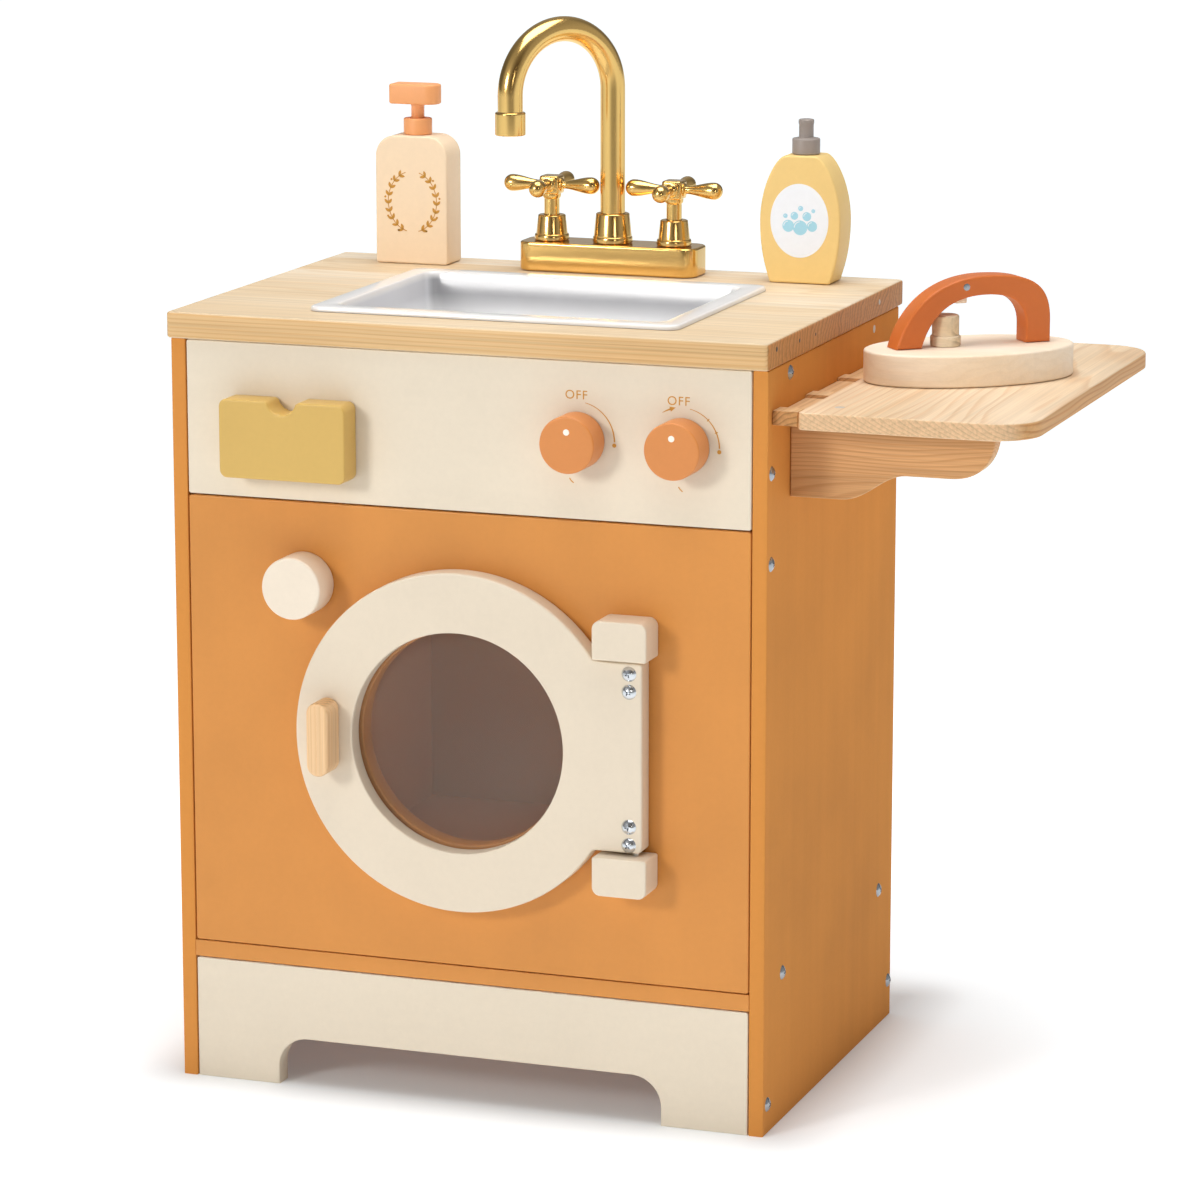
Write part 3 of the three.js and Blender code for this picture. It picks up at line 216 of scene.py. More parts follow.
def wood(name, light, dark, along="X", rings=300.0, pith=(0.05, -0.09), stave=None, contrast=1.0,
         fibre=1.0, wander=0.006, seed=0.0, edge="f4dcbc", end="c89058", end_slope=None,
         end_rings=150.0, end_depth=0.34):
    """Planed wood. Growth rings run round a line parallel to the grain, so long faces show straight or
    arched lines and ends show arcs. along is the grain's axis, pith the line's place across it, and
    stave the width of the glued strips. Narrow faces are tinted with edge, and sawn ends go towards
    the colour end; end_slope turns the rings on the ends."""
    mat, tree, shader, where = new_material(name)
    place = parts_of(tree, where)
    order = {"X": "XYZ", "Y": "YZX", "Z": "ZXY"}[along]
    far, side, up = (place[axis] for axis in order)
    towards = facing(tree)
    tone = None
    if stave:
        tone, far, side, up = glued_strips(tree, far, side, up, stave, seed)
    local = node(tree, "ShaderNodeCombineXYZ", {"X": far, "Y": side, "Z": up}).outputs["Vector"]

    sway = noise(tree, local, (3.0, 14.0, 14.0), 2.0, 0.45, (seed, 0, 0))
    offset = calc(tree, "MULTIPLY", calc(tree, "SUBTRACT", sway, 0.5), wander * 6)
    y = calc(tree, "ADD", calc(tree, "SUBTRACT", side, pith[0]), offset)
    z = calc(tree, "ADD", calc(tree, "SUBTRACT", up, pith[1]), offset)
    squares = calc(tree, "ADD", calc(tree, "MULTIPLY", y, y), calc(tree, "MULTIPLY", z, z))
    radius = calc(tree, "SQRT", squares)
    uneven = calc(tree, "MULTIPLY", noise(tree, local, (0.8, 60.0, 60.0), 1.0, offset=(seed, 3, 1)), 2.2)
    phase = calc(tree, "FRACT", calc(tree, "MULTIPLY_ADD", radius, rings, uneven))
    late = ramp(tree, phase, [(0.0, 0.05), (0.5, 0.2), (0.84, 1.0), (0.93, 0.75),
                              (1.0, 0.05)])
    fibres = noise(tree, local, (7.0, 1100.0, 1100.0), 3.0, 0.65)
    streaks = noise(tree, local, (3.0, 230.0, 230.0), 3.0, 0.6, (seed, 7, 2))
    slow = noise(tree, local, (5.0, 16.0, 16.0), offset=(2, seed, 5))

    on_edge = between(tree, calc(tree, "ABSOLUTE", towards["Z"]), 0.75, 0.35)
    depth = calc(tree, "MULTIPLY_ADD", on_edge, 0.35 * contrast, 0.5 * contrast)
    colour = mix(tree, rgb(light), rgb(dark), calc(tree, "MULTIPLY", late, depth))
    tints = [ramp(tree, streaks, [(0.36, 1.0 - 0.13 * contrast), (0.58, 1.0)]),
             ramp(tree, fibres, [(0.34, 1.0 - 0.12 * fibre), (0.6, 1.0)]),
             ramp(tree, slow, [(0.3, rgb("f7efe2")), (0.7, 1.0)])]
    if tone:
        tints.append(ramp(tree, tone, [(0.0, rgb("f8f0e2")), (1.0, 1.0)]))
    tints.append(mix(tree, 1.0, rgb(edge), on_edge))
    for tint in tints:
        colour = tinted(tree, colour, tint)
    if end:
        arcs = leaning_rings(tree, where, side, up, end_slope, end_rings) if end_slope else late
        sawn = sawn_end(tree, where, colour, end, arcs, end_depth)
        colour = mix(tree, colour, sawn, between(tree, calc(tree, "ABSOLUTE", towards[along]), 0.6, 0.85))
    tree.links.new(colour, shader.inputs["Base Color"])
    varied_roughness(tree, shader, streaks, 0.45, 0.6)
    bump(tree, shader, calc(tree, "MULTIPLY_ADD", late, 0.5, fibres), 0.16, 0.0002)
    fixed(shader, {"Specular IOR Level": 0.25})
    return mat


def metal(name, code, low, high, swirl=40.0, cloudy=0.03):
    """Plated or polished metal with a faint cloudiness in its shine."""
    mat, tree, shader, where = new_material(name)
    cloud = noise(tree, where, swirl, 3.0, 0.6)
    tree.links.new(ramp(tree, cloud, [(0.3, rgb(code, 1 - 2 * cloudy)), (0.7, rgb(code, 1 + cloudy))]),
                   shader.inputs["Base Color"])
    fixed(shader, {"Metallic": 1.0})
    varied_roughness(tree, shader, cloud, low, high)
    bump(tree, shader, noise(tree, where, 900.0), 0.008, 0.0001)
    return mat


def plastic(name, code, low, high, shaded_well_code):
    """Glossy moulded plastic. Painted shade makes the well's upper walls greyer than the rim, and painted
    light makes them white lower down. The wall that looks to the front is painted darker near the top, where
    the key light strikes it."""
    mat, tree, shader, where = new_material(name)
    height = parts_of(tree, where)["Z"]
    # Painted shade under the rim, painted light lower down, and painted shade on the top of the front-facing
    # wall, where the key light falls.
    painted_shade_under_rim = between(tree, height, (TOP + 2) * MM, (TOP - 2) * MM)
    painted_light_low_down = between(tree, height, (TOP - 11) * MM, (TOP - 27) * MM)
    key_shade_high_up = between(tree, height, (TOP - 29) * MM, (TOP - 11) * MM)
    colour = mix(tree, rgb(code), rgb(shaded_well_code), painted_shade_under_rim)
    colour = mix(tree, colour, rgb("ffffff"), painted_light_low_down)
    painted_key_shade = calc(tree, "MULTIPLY", calc(tree, "MULTIPLY", front_faces(tree), painted_shade_under_rim), key_shade_high_up)
    colour = mix(tree, colour, tinted(tree, colour, 0.56), painted_key_shade)
    cloud = noise(tree, where, 30.0)
    mottled = ramp(tree, cloud, [(0.3, 0.96), (0.7, 1.0)])
    tree.links.new(tinted(tree, colour, mottled), shader.inputs["Base Color"])
    varied_roughness(tree, shader, cloud, low, high)
    bump(tree, shader, noise(tree, where, 500.0), 0.04, 0.0001)
    fixed(shader, {"Coat Weight": 0.25, "Coat Roughness": 0.12})
    return mat


def clear_pane(name):
    """Thin clear acrylic: mostly see-through, with a gloss on top and a faint mottled warm grey that is a
    painted reflection haze.
    """
    mat, tree, shader, where = new_material(name)
    # The warm grey base colour, seen at low alpha, is a painted haze of reflection over the window.
    cloud = noise(tree, where, 9.0)
    tree.links.new(ramp(tree, cloud, [(0.35, rgb("a99b8d")), (0.7, rgb("b9ad9f"))]),
                   shader.inputs["Base Color"])
    fixed(shader, {"Roughness": 0.05, "Alpha": 0.12, "IOR": 1.49, "Specular IOR Level": 0.7})
    return mat


MATS = {
    "orange": paint("painted_orange", "d89046", grain=(60, 60, 3), shine=0.3),
    "orange_side": paint("painted_orange_side", "da924a", low=0.62, high=0.74, grain=(60, 70, 2.5),
                         grain_share=0.965, shine=0.03, front="da924a"),
    "cream": paint("painted_cream", "e7d9c3", 0.965, 1.02, grain=(5, 60, 90)),
    "door": paint("painted_cream_door", "e4d5bf", 0.97, 1.02),
    "knob": paint("painted_cream_knob", "efe0cc", 0.97, 1.02),
    "mustard": paint("painted_mustard", "d3ad5d", 0.95, 1.03),
    "terracotta": paint("painted_terracotta", "d98a49", 0.95, 1.04),
    "rust": paint("painted_rust", "d07034", 0.95, 1.03, shine=0.3),
    "peach": paint("painted_peach", "f8ac70", 0.96, 1.03),
    "butter": paint("painted_butter", "f3d18a", 0.96, 1.03, shine=0.15),
    "grey": paint("painted_grey", "9d928b", 0.96, 1.03),
    # Two copies of the compartment paint: taupe for the right wall, roof and back, and a lighter copy as
    # painted light on the left wall and floor.
    "taupe": paint("painted_taupe", "e0a676", 0.99, 1.01, low=0.7, high=0.85,
                   peel_depth=0.01),
    "taupe_painted_lit": paint("painted_taupe_light", "f4c49e", 0.99, 1.01, low=0.7, high=0.85,
                         peel_depth=0.01),
    "worktop": wood("pine_worktop", "f3e5d0", "e2c59d", "X", 380.0, (0.1, 0.18), 0.058, 0.8,
                    edge="fbe9cc", end="cb8038", end_slope=-0.45),
    "shelf": wood("pine_shelf", "f7e3c9", "dcae7f", "Y", 330.0, (0.36, 0.30), 0.075, 0.9, seed=3.0,
                  edge="efcfa6", end="f2cfa6", end_slope=0.5, end_rings=360.0, end_depth=0.2),
    # The bracket's pine is darker than the shelf's: partly its own tone, partly painted shade from the shelf
    # above it.
    "bracket": wood("pine_bracket_tone_and_painted_shade", "e6bf93", "c08f5b", "X", 330.0, (-0.2, 0.28), None, 0.6, 1.4,
                    wander=0.012, seed=5.0, edge="f4e4d0", end=None),
    # The rail's pine is darker than the shelf's: partly its own tone, partly painted shade from the plank and
    # the side board beside it.
    "rail": wood("pine_rail_tone_and_painted_shade", "ecc698", "cf9c66", "Y", 330.0, (0.2, 0.30), None, 0.9, seed=8.0),
    "batten": wood("pine_batten", "efd3a9", "d5a46c", "Y", 330.0, (0.02, 0.2), None, 0.9, seed=9.0),
    "beech": wood("beech_handle", "f8d3a7", "e6b680", "Z", 420.0, (-0.4, -0.04), None, 0.45, 1.0,
                  seed=4.0, edge="ffffff", end="dba86f"),
    "birch": wood("birch_plain", "f3e3c8", "dcc19a", "X", 110.0, (-0.1, 0.3), None, 0.45, 0.7,
                  seed=6.0, edge="ffffff", end="e8cfa8"),
    "sole": wood("birch_sole", "fff1df", "f6e2c6", "X", 160.0, (0.02, 0.36), None, 0.3, 0.3,
                 seed=7.0, edge="ffffff", end=None),
    "vanilla": paint("painted_vanilla", "fbe2c2", 0.985, 1.01, shine=0.12),
    # d4d4d8 is the painted shade on the well's upper walls.
    "white": plastic("sink_white", "f1efed", 0.14, 0.22, "d4d4d8"),
    "gold": metal("polished_gold", "eac074", 0.17, 0.2, 14.0, 0.006),
    "steel": metal("polished_steel", "cfd2d6", 0.16, 0.26),
    "dark_steel": metal("dull_steel", "a3a6aa", 0.2, 0.3),
    "pin": paint("dark_pin", "3a302a", 0.95, 1.05),
    "plug": paint("filled_plug", "c6bdb2", 0.95, 1.03),
    "pane": clear_pane("clear_pane"),
    "ochre": paint("printed_ochre", "cf9433", 0.97, 1.03),
    "label": paint("printed_white", "f4f8ff", 0.99, 1.0, low=0.4, high=0.5),
    "sky": paint("printed_sky", "a5d9ec", 0.93, 1.05, low=0.4, high=0.5),
    "dot": paint("printed_dot", "fbf4e6", 0.98, 1.0, low=0.4, high=0.5),
}


# Mesh building

def shift(x, y, z):
    return Matrix.Translation((x, y, z))


def spin(degrees, axis="Z"):
    return Matrix.Rotation(math.radians(degrees), 4, axis)


FRONT_FACING = spin(90, "X")


def standing(back=0.0):
    """Outline x, z and thickness towards the front: a board that stands across the cabinet."""
    return shift(0, back, 0) @ FRONT_FACING


def sideways(start):
    """Outline y, z and thickness towards the right: a board that stands along the cabinet."""
    return shift(start, 0, 0) @ spin(90) @ FRONT_FACING


def piece(name, shape, body, material, replaced=(), matrix=Matrix.Identity(4), sharp=38):
    """Puts a finished shape into the scene as a piece that rides on a body."""
    for v in shape.verts:
        v.co = (matrix @ v.co + SHIFT) * MM
    bmesh.ops.recalc_face_normals(shape, faces=shape.faces)
    mesh = bpy.data.meshes.new(name)
    shape.to_mesh(mesh)
    shape.free()
    mesh.polygons.foreach_set("use_smooth", [True] * len(mesh.polygons))
    mesh.set_sharp_from_angle(angle=math.radians(sharp))
    made = bpy.data.objects.new(name, mesh)
    scene.collection.objects.link(made)
    mesh.materials.append(MATS[material])
    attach(made, body)
    if replaced:
        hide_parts(*replaced)
    return made


def arc(x, y, radius, start, end, steps):
    """Points on an arc, both ends included. Angles are radians."""
    return [Vector((x + radius * math.cos(a), y + radius * math.sin(a)))
            for a in (start + (end - start) * i / steps for i in range(steps + 1))]


def full_turn(steps):
    return [2 * math.pi * i / steps for i in range(steps)]


def circle(x, y, radius, steps):
    return arc(x, y, radius, 0, 2 * math.pi, steps)[:-1]


def ellipse(half_x, half_y, steps):
    return [Vector((half_x * math.cos(a), half_y * math.sin(a))) for a in full_turn(steps)]


def rectangle(x0, x1, y0, y1, corners=0.0, steps=8):
    """An anticlockwise rectangle; corners is one radius or four, from the lower left one."""
    radii = corners if isinstance(corners, (list, tuple)) else [corners] * 4
    spots = [(x0, y0, 1, 1, 2), (x1, y0, -1, 1, 3), (x1, y1, -1, -1, 0), (x0, y1, 1, -1, 1)]
    points = []
    for (x, y, sx, sy, quarter), r in zip(spots, radii):
        if r > 0:
            points += arc(x + sx * r, y + sy * r, r, quarter * QUARTER, (quarter + 1) * QUARTER, steps)
        else:
            points.append(Vector((x, y)))
    return points


def centred(middle, half_x, half_y, corner, steps=8):
    x, y = middle
    return rectangle(x - half_x, x + half_x, y - half_y, y + half_y, corner, steps)


def bezier(p0, p1, p2, p3, steps):
    """Points on a cubic curve, without its first point."""
    p0, p1, p2, p3 = map(Vector, (p0, p1, p2, p3))
    points = []
    for i in range(1, steps + 1):
        t = i / steps
        s = 1 - t
        points.append(p0 * s ** 3 + p1 * 3 * s * s * t + p2 * 3 * s * t * t + p3 * t ** 3)
    return points


def area(points):
    return sum(a.x * b.y - b.x * a.y for a, b in zip(points, points[1:] + points[:1])) / 2


def inset(points, distance):
    """The outline moved to its left by a distance."""
    moved_points = []
    for i, p in enumerate(points):
        before, after = points[i - 1], points[(i + 1) % len(points)]
        d0, d1 = (p - before).normalized(), (after - p).normalized()
        n0, n1 = Vector((-d0.y, d0.x)), Vector((-d1.y, d1.x))
        moved_points.append(p + (n0 + n1) * (distance / max(0.3, 1 + n0.dot(n1))))
    return moved_points


def rim_curve(edge, steps):
    """Inset and rise of the points on a rounded rim, from the flat face to the side."""
    angles = (QUARTER * i / steps for i in range(steps + 1))
    return [(edge * (1 - math.sin(a)), edge * (1 - math.cos(a))) for a in angles]


def support(edge):
    """The inset of the ring that keeps the shading of a flat face apart from its rounded rim."""
    return edge + min(0.5, edge * 0.5)


def lower_levels(low, edge, steps):
    """Inset and height of each ring of a rounded lower rim, from the bottom up."""
    if edge <= 0:
        return [(0.0, low)]
    return [(support(edge), low), *((gap, low + rise) for gap, rise in rim_curve(edge, steps))]


def upper_levels(high, edge, steps):
    """Inset and height of each ring of a rounded upper rim, from the bottom up."""
    if edge <= 0:
        return [(0.0, high)]
    return [*((gap, high - rise) for gap, rise in reversed(rim_curve(edge, steps))), (support(edge), high)]


def ring_at(shape, outline, gap, z):
    return [shape.verts.new((p.x, p.y, z)) for p in (inset(outline, gap) if gap else outline)]


def join_rings(shape, lower, upper):
    """Faces between two rings of equally many points, either of which may be a single point."""
    count = max(len(lower), len(upper))
    for i in range(count):
        j = (i + 1) % count
        if len(lower) == 1:
            shape.faces.new((lower[0], upper[j], upper[i]))
        elif len(upper) == 1:
            shape.faces.new((lower[i], lower[j], upper[0]))
        else:
            shape.faces.new((lower[i], lower[j], upper[j], upper[i]))


def join_all(shape, rings):
    for lower, upper in zip(rings, rings[1:]):
        join_rings(shape, lower, upper)


def close_end(shape, rims):
    """Closes a flat end between its outer rim and the rims of its holes."""
    edges = [shape.edges.get((ring[i], ring[(i + 1) % len(ring)])) for ring in rims for i in range(len(ring))]
    bmesh.ops.triangle_fill(shape, use_beauty=True, edges=edges)


def slab(outline, low, high, edge=0.8, holes=(), steps=3, hole_edge=None):
    """A board cut to an outline, with rounded rims and holes through it."""
    shape = bmesh.new()
    loops = [(outline if area(outline) > 0 else outline[::-1], edge)]
    loops += [(hole if area(hole) < 0 else hole[::-1], edge if hole_edge is None else hole_edge)
              for hole in holes]
    first_rims, last_rims = [], []
    for points, rim_edge in loops:
        levels = lower_levels(low, rim_edge, steps) + upper_levels(high, rim_edge, steps)
        rings = [ring_at(shape, points, gap, z) for gap, z in levels]
        join_all(shape, rings)
        first_rims.append(rings[0])
        last_rims.append(rings[-1])
    for rims in (first_rims, last_rims):
        if len(rims) == 1:
            shape.faces.new(rims[0])
        else:
            close_end(shape, rims)
    return shape


def turned(profile, steps=64):
    """A turned piece about z; profile is (radius, height) from one end to the other."""
    shape = bmesh.new()
    rings = []
    for radius, z in profile:
        if radius <= 0:
            rings.append([shape.verts.new((0, 0, z))])
        else:
            rings.append([shape.verts.new((radius * math.cos(a), radius * math.sin(a), z))
                          for a in full_turn(steps)])
    join_all(shape, rings)
    return shape


def rim(radius, height, edge, down=False, steps=5):
    """The rounded rim of a turned piece, from the side to the end face, or the reverse when down."""
    sign = -1 if down else 1
    points = [(radius - edge + edge * math.cos(a), height + sign * (edge * math.sin(a) - edge))
              for a in (QUARTER * i / steps for i in range(steps + 1))]
    return points[::-1] if down else points


def disc(radius, low, side, top, steps=32, bevel=0.3):
    """A low round plug: its foot at low, its side up to the height side, and a bevel up to its top."""
    return turned([(0, low), (radius, low), (radius, side), (radius - bevel, top), (0, top)], steps)


def lofted(loops):
    """A skin over loops of equally many points, closed at both ends."""
    shape = bmesh.new()
    rings = [[shape.verts.new(p) for p in loop] for loop in loops]
    join_all(shape, rings)
    shape.faces.new(rings[0])
    shape.faces.new(rings[-1])
    return shape


def swept(path, radius, steps):
    """A round tube along points that lie in the plane x = 0."""
    side = Vector((1, 0, 0))
    loops = []
    for i, p in enumerate(path):
        ahead = (path[min(i + 1, len(path) - 1)] - path[max(i - 1, 0)]).normalized()
        up = side.cross(ahead)
        loops.append([p + (side * math.cos(a) + up * math.sin(a)) * radius for a in full_turn(steps)])
    return lofted(loops)


def merged(shapes):
    """Several shapes as one."""
    whole = bmesh.new()
    for shape in shapes:
        mesh = bpy.data.meshes.new("part")
        shape.to_mesh(mesh)
        shape.free()
        whole.from_mesh(mesh)
        bpy.data.meshes.remove(mesh)
    return whole


def transformed(shape, matrix):
    bmesh.ops.transform(shape, matrix=matrix, verts=shape.verts)
    return shape


# Cabinet

SIDE = Sizes(depth=286.0, top=489.7, board=9.9, gap=0.1, edge=0.9)
FRONT = Sizes(left=189.3, right=189.5, board=14.0, corner=1.6, edge=0.9)
FRONT_BOARD = Sizes(low=93.1, high=388.8, porthole=70.0)
CONTROL_BOARD = Sizes(low=389.8, high=489.5, tray=(-150.5, -80.5, 411.0, 445.0))
SHAFT_HOLE = 3.4
PLINTH = Sizes(foot=131.7, arch=32.0, arch_corner=20.0, top=80.9)
BASE = Sizes(depth=279.7, low=81.5, high=92.5, edge=0.7)
BACK = Sizes(board=6.0, edge=0.6)
STRETCHER = Sizes(low=14.0, high=38.0, board=15.0, edge=0.8)
WORKTOP = Sizes(left=-202.0, right=200.8, front=-3.0, back=294.0, low=490.0, corner=3.0, edge=1.8)
CUT_OUT = Sizes(half_x=113.25, half_y=83.5, corner=11.5, edge=0.4)
TAP_BOLT = Sizes(outwards=30.0, hole=4.3)

BOARD_LEFT = LEFT_FACE + SIDE.board + SIDE.gap
BOARD_RIGHT = RIGHT_FACE - SIDE.board - SIDE.gap

for word, low in (("left", LEFT_FACE), ("right", RIGHT_FACE - SIDE.board)):
    side_outline = rectangle(0, SIDE.depth, 0, SIDE.top)
    piece(f"side_board_{word}", slab(side_outline, 0, SIDE.board, SIDE.edge, steps=4), "cabinet",
          "orange_side", [f"side_panel_{word}"], sideways(low))


def front_outline(low, high):
    """A board between the side boards, with a narrow dark seam beside each of them."""
    return rectangle(-FRONT.left, FRONT.right, low, high, FRONT.corner, 4)


def front_slab(outline, holes=()):
    return slab(outline, 0, FRONT.board, FRONT.edge, holes, steps=4)


def shaft_hole(place):
    return circle(*place, SHAFT_HOLE, 24)


def plinth_outline():
    """Two feet with a round-cornered arch between them."""
    crown = PLINTH.arch - PLINTH.arch_corner
    bend = PLINTH.foot - PLINTH.arch_corner
    shoulder = PLINTH.top - FRONT.corner
    points = [Vector((-FRONT.left, 0)), Vector((-PLINTH.foot, 0))]
    points += arc(-bend, crown, PLINTH.arch_corner, math.pi, QUARTER, 14)
    points += arc(bend, crown, PLINTH.arch_corner, QUARTER, 0, 14)
    points += [Vector((PLINTH.foot, 0)), Vector((FRONT.right, 0))]
    points += arc(FRONT.right - FRONT.corner, shoulder, FRONT.corner, 0, QUARTER, 4)
    points += arc(FRONT.corner - FRONT.left, shoulder, FRONT.corner, QUARTER, math.pi, 4)
    return points


front_holes = [circle(0, DOOR_MIDDLE, FRONT_BOARD.porthole, 128), shaft_hole(START_KNOB)]
piece("front_board", front_slab(front_outline(FRONT_BOARD.low, FRONT_BOARD.high), front_holes),
      "cabinet", "orange", ["front_panel"], standing(FRONT.board))
control_holes = [rectangle(*CONTROL_BOARD.tray), *(shaft_hole(place) for place in DIALS)]
piece("control_board", front_slab(front_outline(CONTROL_BOARD.low, CONTROL_BOARD.high), control_holes),
      "cabinet", "cream", ["control_panel"], standing(FRONT.board))
piece("plinth_board", front_slab(plinth_outline()),
      "cabinet", "cream", ["plinth"], standing(FRONT.board))
piece("base_board", slab(rectangle(BOARD_LEFT, BOARD_RIGHT, 0, BASE.depth), BASE.low, BASE.high, BASE.edge),
      "cabinet", "orange", ["bottom_board"])
piece("back_board", slab(rectangle(BOARD_LEFT, BOARD_RIGHT, BASE.low, SIDE.top), 0, BACK.board, BACK.edge),
      "cabinet", "orange", ["back_panel"], standing(SIDE.depth))
stretcher_outline = rectangle(BOARD_LEFT, BOARD_RIGHT, STRETCHER.low, STRETCHER.high)
piece("stretcher_board", slab(stretcher_outline, 0, STRETCHER.board, STRETCHER.edge),
      "cabinet", "orange", ["rear_stretcher"], standing(SIDE.depth))

worktop_outline = rectangle(WORKTOP.left, WORKTOP.right, WORKTOP.front, WORKTOP.back, WORKTOP.corner)
worktop_holes = [centred(SINK, CUT_OUT.half_x, CUT_OUT.half_y, CUT_OUT.corner),
                 *(circle(TAP[0] + side * TAP_BOLT.outwards, TAP[1], TAP_BOLT.hole, 24) for side in (-1, 1))]
piece("worktop_board", slab(worktop_outline, WORKTOP.low, TOP, WORKTOP.edge, worktop_holes, 5, CUT_OUT.edge),
      "cabinet", "worktop", ["worktop"])


def dressed(name, material, edge):
    """A CAD node that stays, with a material and slightly rounded edges."""
    made = nodes[name]
    made.data.materials.clear()
    made.data.materials.append(MATS[material])
    if edge:
        weld = made.modifiers.new("weld", "WELD")
        weld.merge_threshold = 0.00002
        rounding = made.modifiers.new("rounding", "BEVEL")
        rounding.width = edge * MM
        rounding.segments = 2
        rounding.limit_method = "ANGLE"
        rounding.angle_limit = math.radians(50)


for name in ("top_batten_left", "top_batten_right", "base_batten_left", "base_batten_right"):
    dressed(name, "batten", 0.8)
# Painted light and shade in the compartment: the left wall and the floor take the lighter taupe.
for word, tone in (("wall_left", "taupe_painted_lit"), ("wall_right", "taupe"), ("floor", "taupe_painted_lit"),
                   ("roof", "taupe"), ("back", "taupe")):
    dressed(f"compartment_{word}", tone, 0.4)
for name in ("drawer_guide", "drawer_tray"):
    dressed(name, "birch", 0.4)
for name in ("dial_left_shaft", "dial_right_shaft", "start_knob_shaft", "door_pin_top", "door_pin_bottom",
             "door_magnet", "catch_plate", "tap_bolt_left", "tap_bolt_right", "soap_spring"):
    dressed(name, "steel", 0)


# Door

DOOR = Sizes(back=-1.0, front=-16.0, ring=110.0, edge=1.3, hole=71.4, hole_edge=1.0,
             rebate=76.0, rebate_depth=3.4)
TAB = Sizes(right=124.0, half=61.0, fillet=4.0, low_corner=3.5, high_corner=2.4, hinge_corner=2.0)
PANE = Sizes(radius=75.5, thickness=3.0, edge=0.4, front=-4.1)
GRIP = Sizes(left=-94.5, right=-79.5, half=24.0, corner=7.45, depth=20.5, edge=2.2, back=-16.3)
HINGE = Sizes(left=93.5, right=129.5, height=25.0, depth=23.7, back=-0.3, corner=5.5, tab_corner=1.6,
              edge=1.0, top_low=306.3, bottom_low=154.7)


def door_outline():
    """A ring with a straight tab on its right side, and a fillet where they meet."""
    rise = TAB.half + TAB.fillet
    reach = DOOR.ring + TAB.fillet
    x = math.sqrt(reach * reach - rise * rise)
    turn = math.atan2(rise, x)
    low, high = TAB.low_corner, TAB.high_corner
    points = arc(TAB.right - low, low - TAB.half, low, -QUARTER, 0, 5)
    points += arc(TAB.right - high, TAB.half - high, high, 0, QUARTER, 4)
    points += arc(x, rise, TAB.fillet, -QUARTER, turn - math.pi, 6)
    points += arc(0, 0, DOOR.ring, turn, 2 * math.pi - turn, 150)[1:-1]
    points += arc(x, -rise, TAB.fillet, math.pi - turn, QUARTER, 6)
    return [p + Vector((0, DOOR_MIDDLE)) for p in points]


def door_shape():
    """The ring and its tab; the window's hole has a wider step behind for the pane, and the tab's back
    corner is round so that the door can turn."""
    corner = TAB.hinge_corner
    low, high = 0.0, DOOR.back - DOOR.front
    shape = bmesh.new()
    outline = door_outline()
    levels = lower_levels(low, DOOR.edge, 5) + upper_levels(high, DOOR.edge, 5)
    outer = [ring_at(shape, outline, gap, z) for gap, z in levels]
    for ring in outer:
        for v in ring:
            if v.co.x > TAB.right - corner and v.co.z < corner:
                deep = corner - v.co.z
                bulge = math.sqrt(max(0.0, corner * corner - deep * deep))
                v.co.x = min(v.co.x, TAB.right - corner + bulge)
    hole = circle(0, DOOR_MIDDLE, DOOR.hole, 160)[::-1]
    rebate = circle(0, DOOR_MIDDLE, DOOR.rebate, 160)[::-1]
    inner = [ring_at(shape, rebate, 0.0, low), ring_at(shape, rebate, 0.0, DOOR.rebate_depth),
             ring_at(shape, hole, 0.0, DOOR.rebate_depth)]
    inner += [ring_at(shape, hole, gap, z) for gap, z in upper_levels(high, DOOR.hole_edge, 5)]
    join_all(shape, outer)
    join_all(shape, inner)
    for end in (0, -1):
        close_end(shape, (outer[end], inner[end]))
    return shape


def pane_shape():
    lower = rim(PANE.radius, 0.0, PANE.edge, True, 3)
    upper = rim(PANE.radius, PANE.thickness, PANE.edge, False, 3)
    return turned([(0, 0), *lower, *upper, (0, PANE.thickness)], 128)


piece("door_plate", door_shape(), "door", "door", ["door_ring"], standing(DOOR.back))
piece("door_pane", pane_shape(), "door", "pane", ["door_window"],
      shift(0, PANE.front, DOOR_MIDDLE) @ spin(-90, "X"))
grip_outline = rectangle(GRIP.left, GRIP.right, DOOR_MIDDLE - GRIP.half, DOOR_MIDDLE + GRIP.half,
                         GRIP.corner, 14)
piece("door_grip", slab(grip_outline, 0, GRIP.depth, GRIP.edge, steps=6), "door", "beech",
      ["door_handle"], standing(GRIP.back))
for word, low, corners in (("top", HINGE.top_low, (HINGE.tab_corner, HINGE.corner)),
                           ("bottom", HINGE.bottom_low, (HINGE.corner, HINGE.tab_corner))):
    radii = [corner for corner in corners for _ in (0, 1)]
    cap_outline = rectangle(HINGE.left, HINGE.right, low, low + HINGE.height, radii, 8)
    piece(f"hinge_cap_{word}", slab(cap_outline, 0, HINGE.depth, HINGE.edge, steps=5),
          "cabinet", "door", [f"hinge_block_{word}"], standing(HINGE.back))


# Screws

DOOR_SCREW = Sizes(radius=4.85, height=2.6, x=115.5, rows=(297.2, 285.7, 198.9, 187.0))
SIDE_SCREW = Sizes(radius=4.7, height=2.1)
SIDE_SCREWS = ((44.5, 482.5), (228, 483), (8, 425), (8, 368), (38, 98), (254, 96), (279.5, 25.6), (8.5, 19.3))
FILLED_SCREW = ("right", 1)


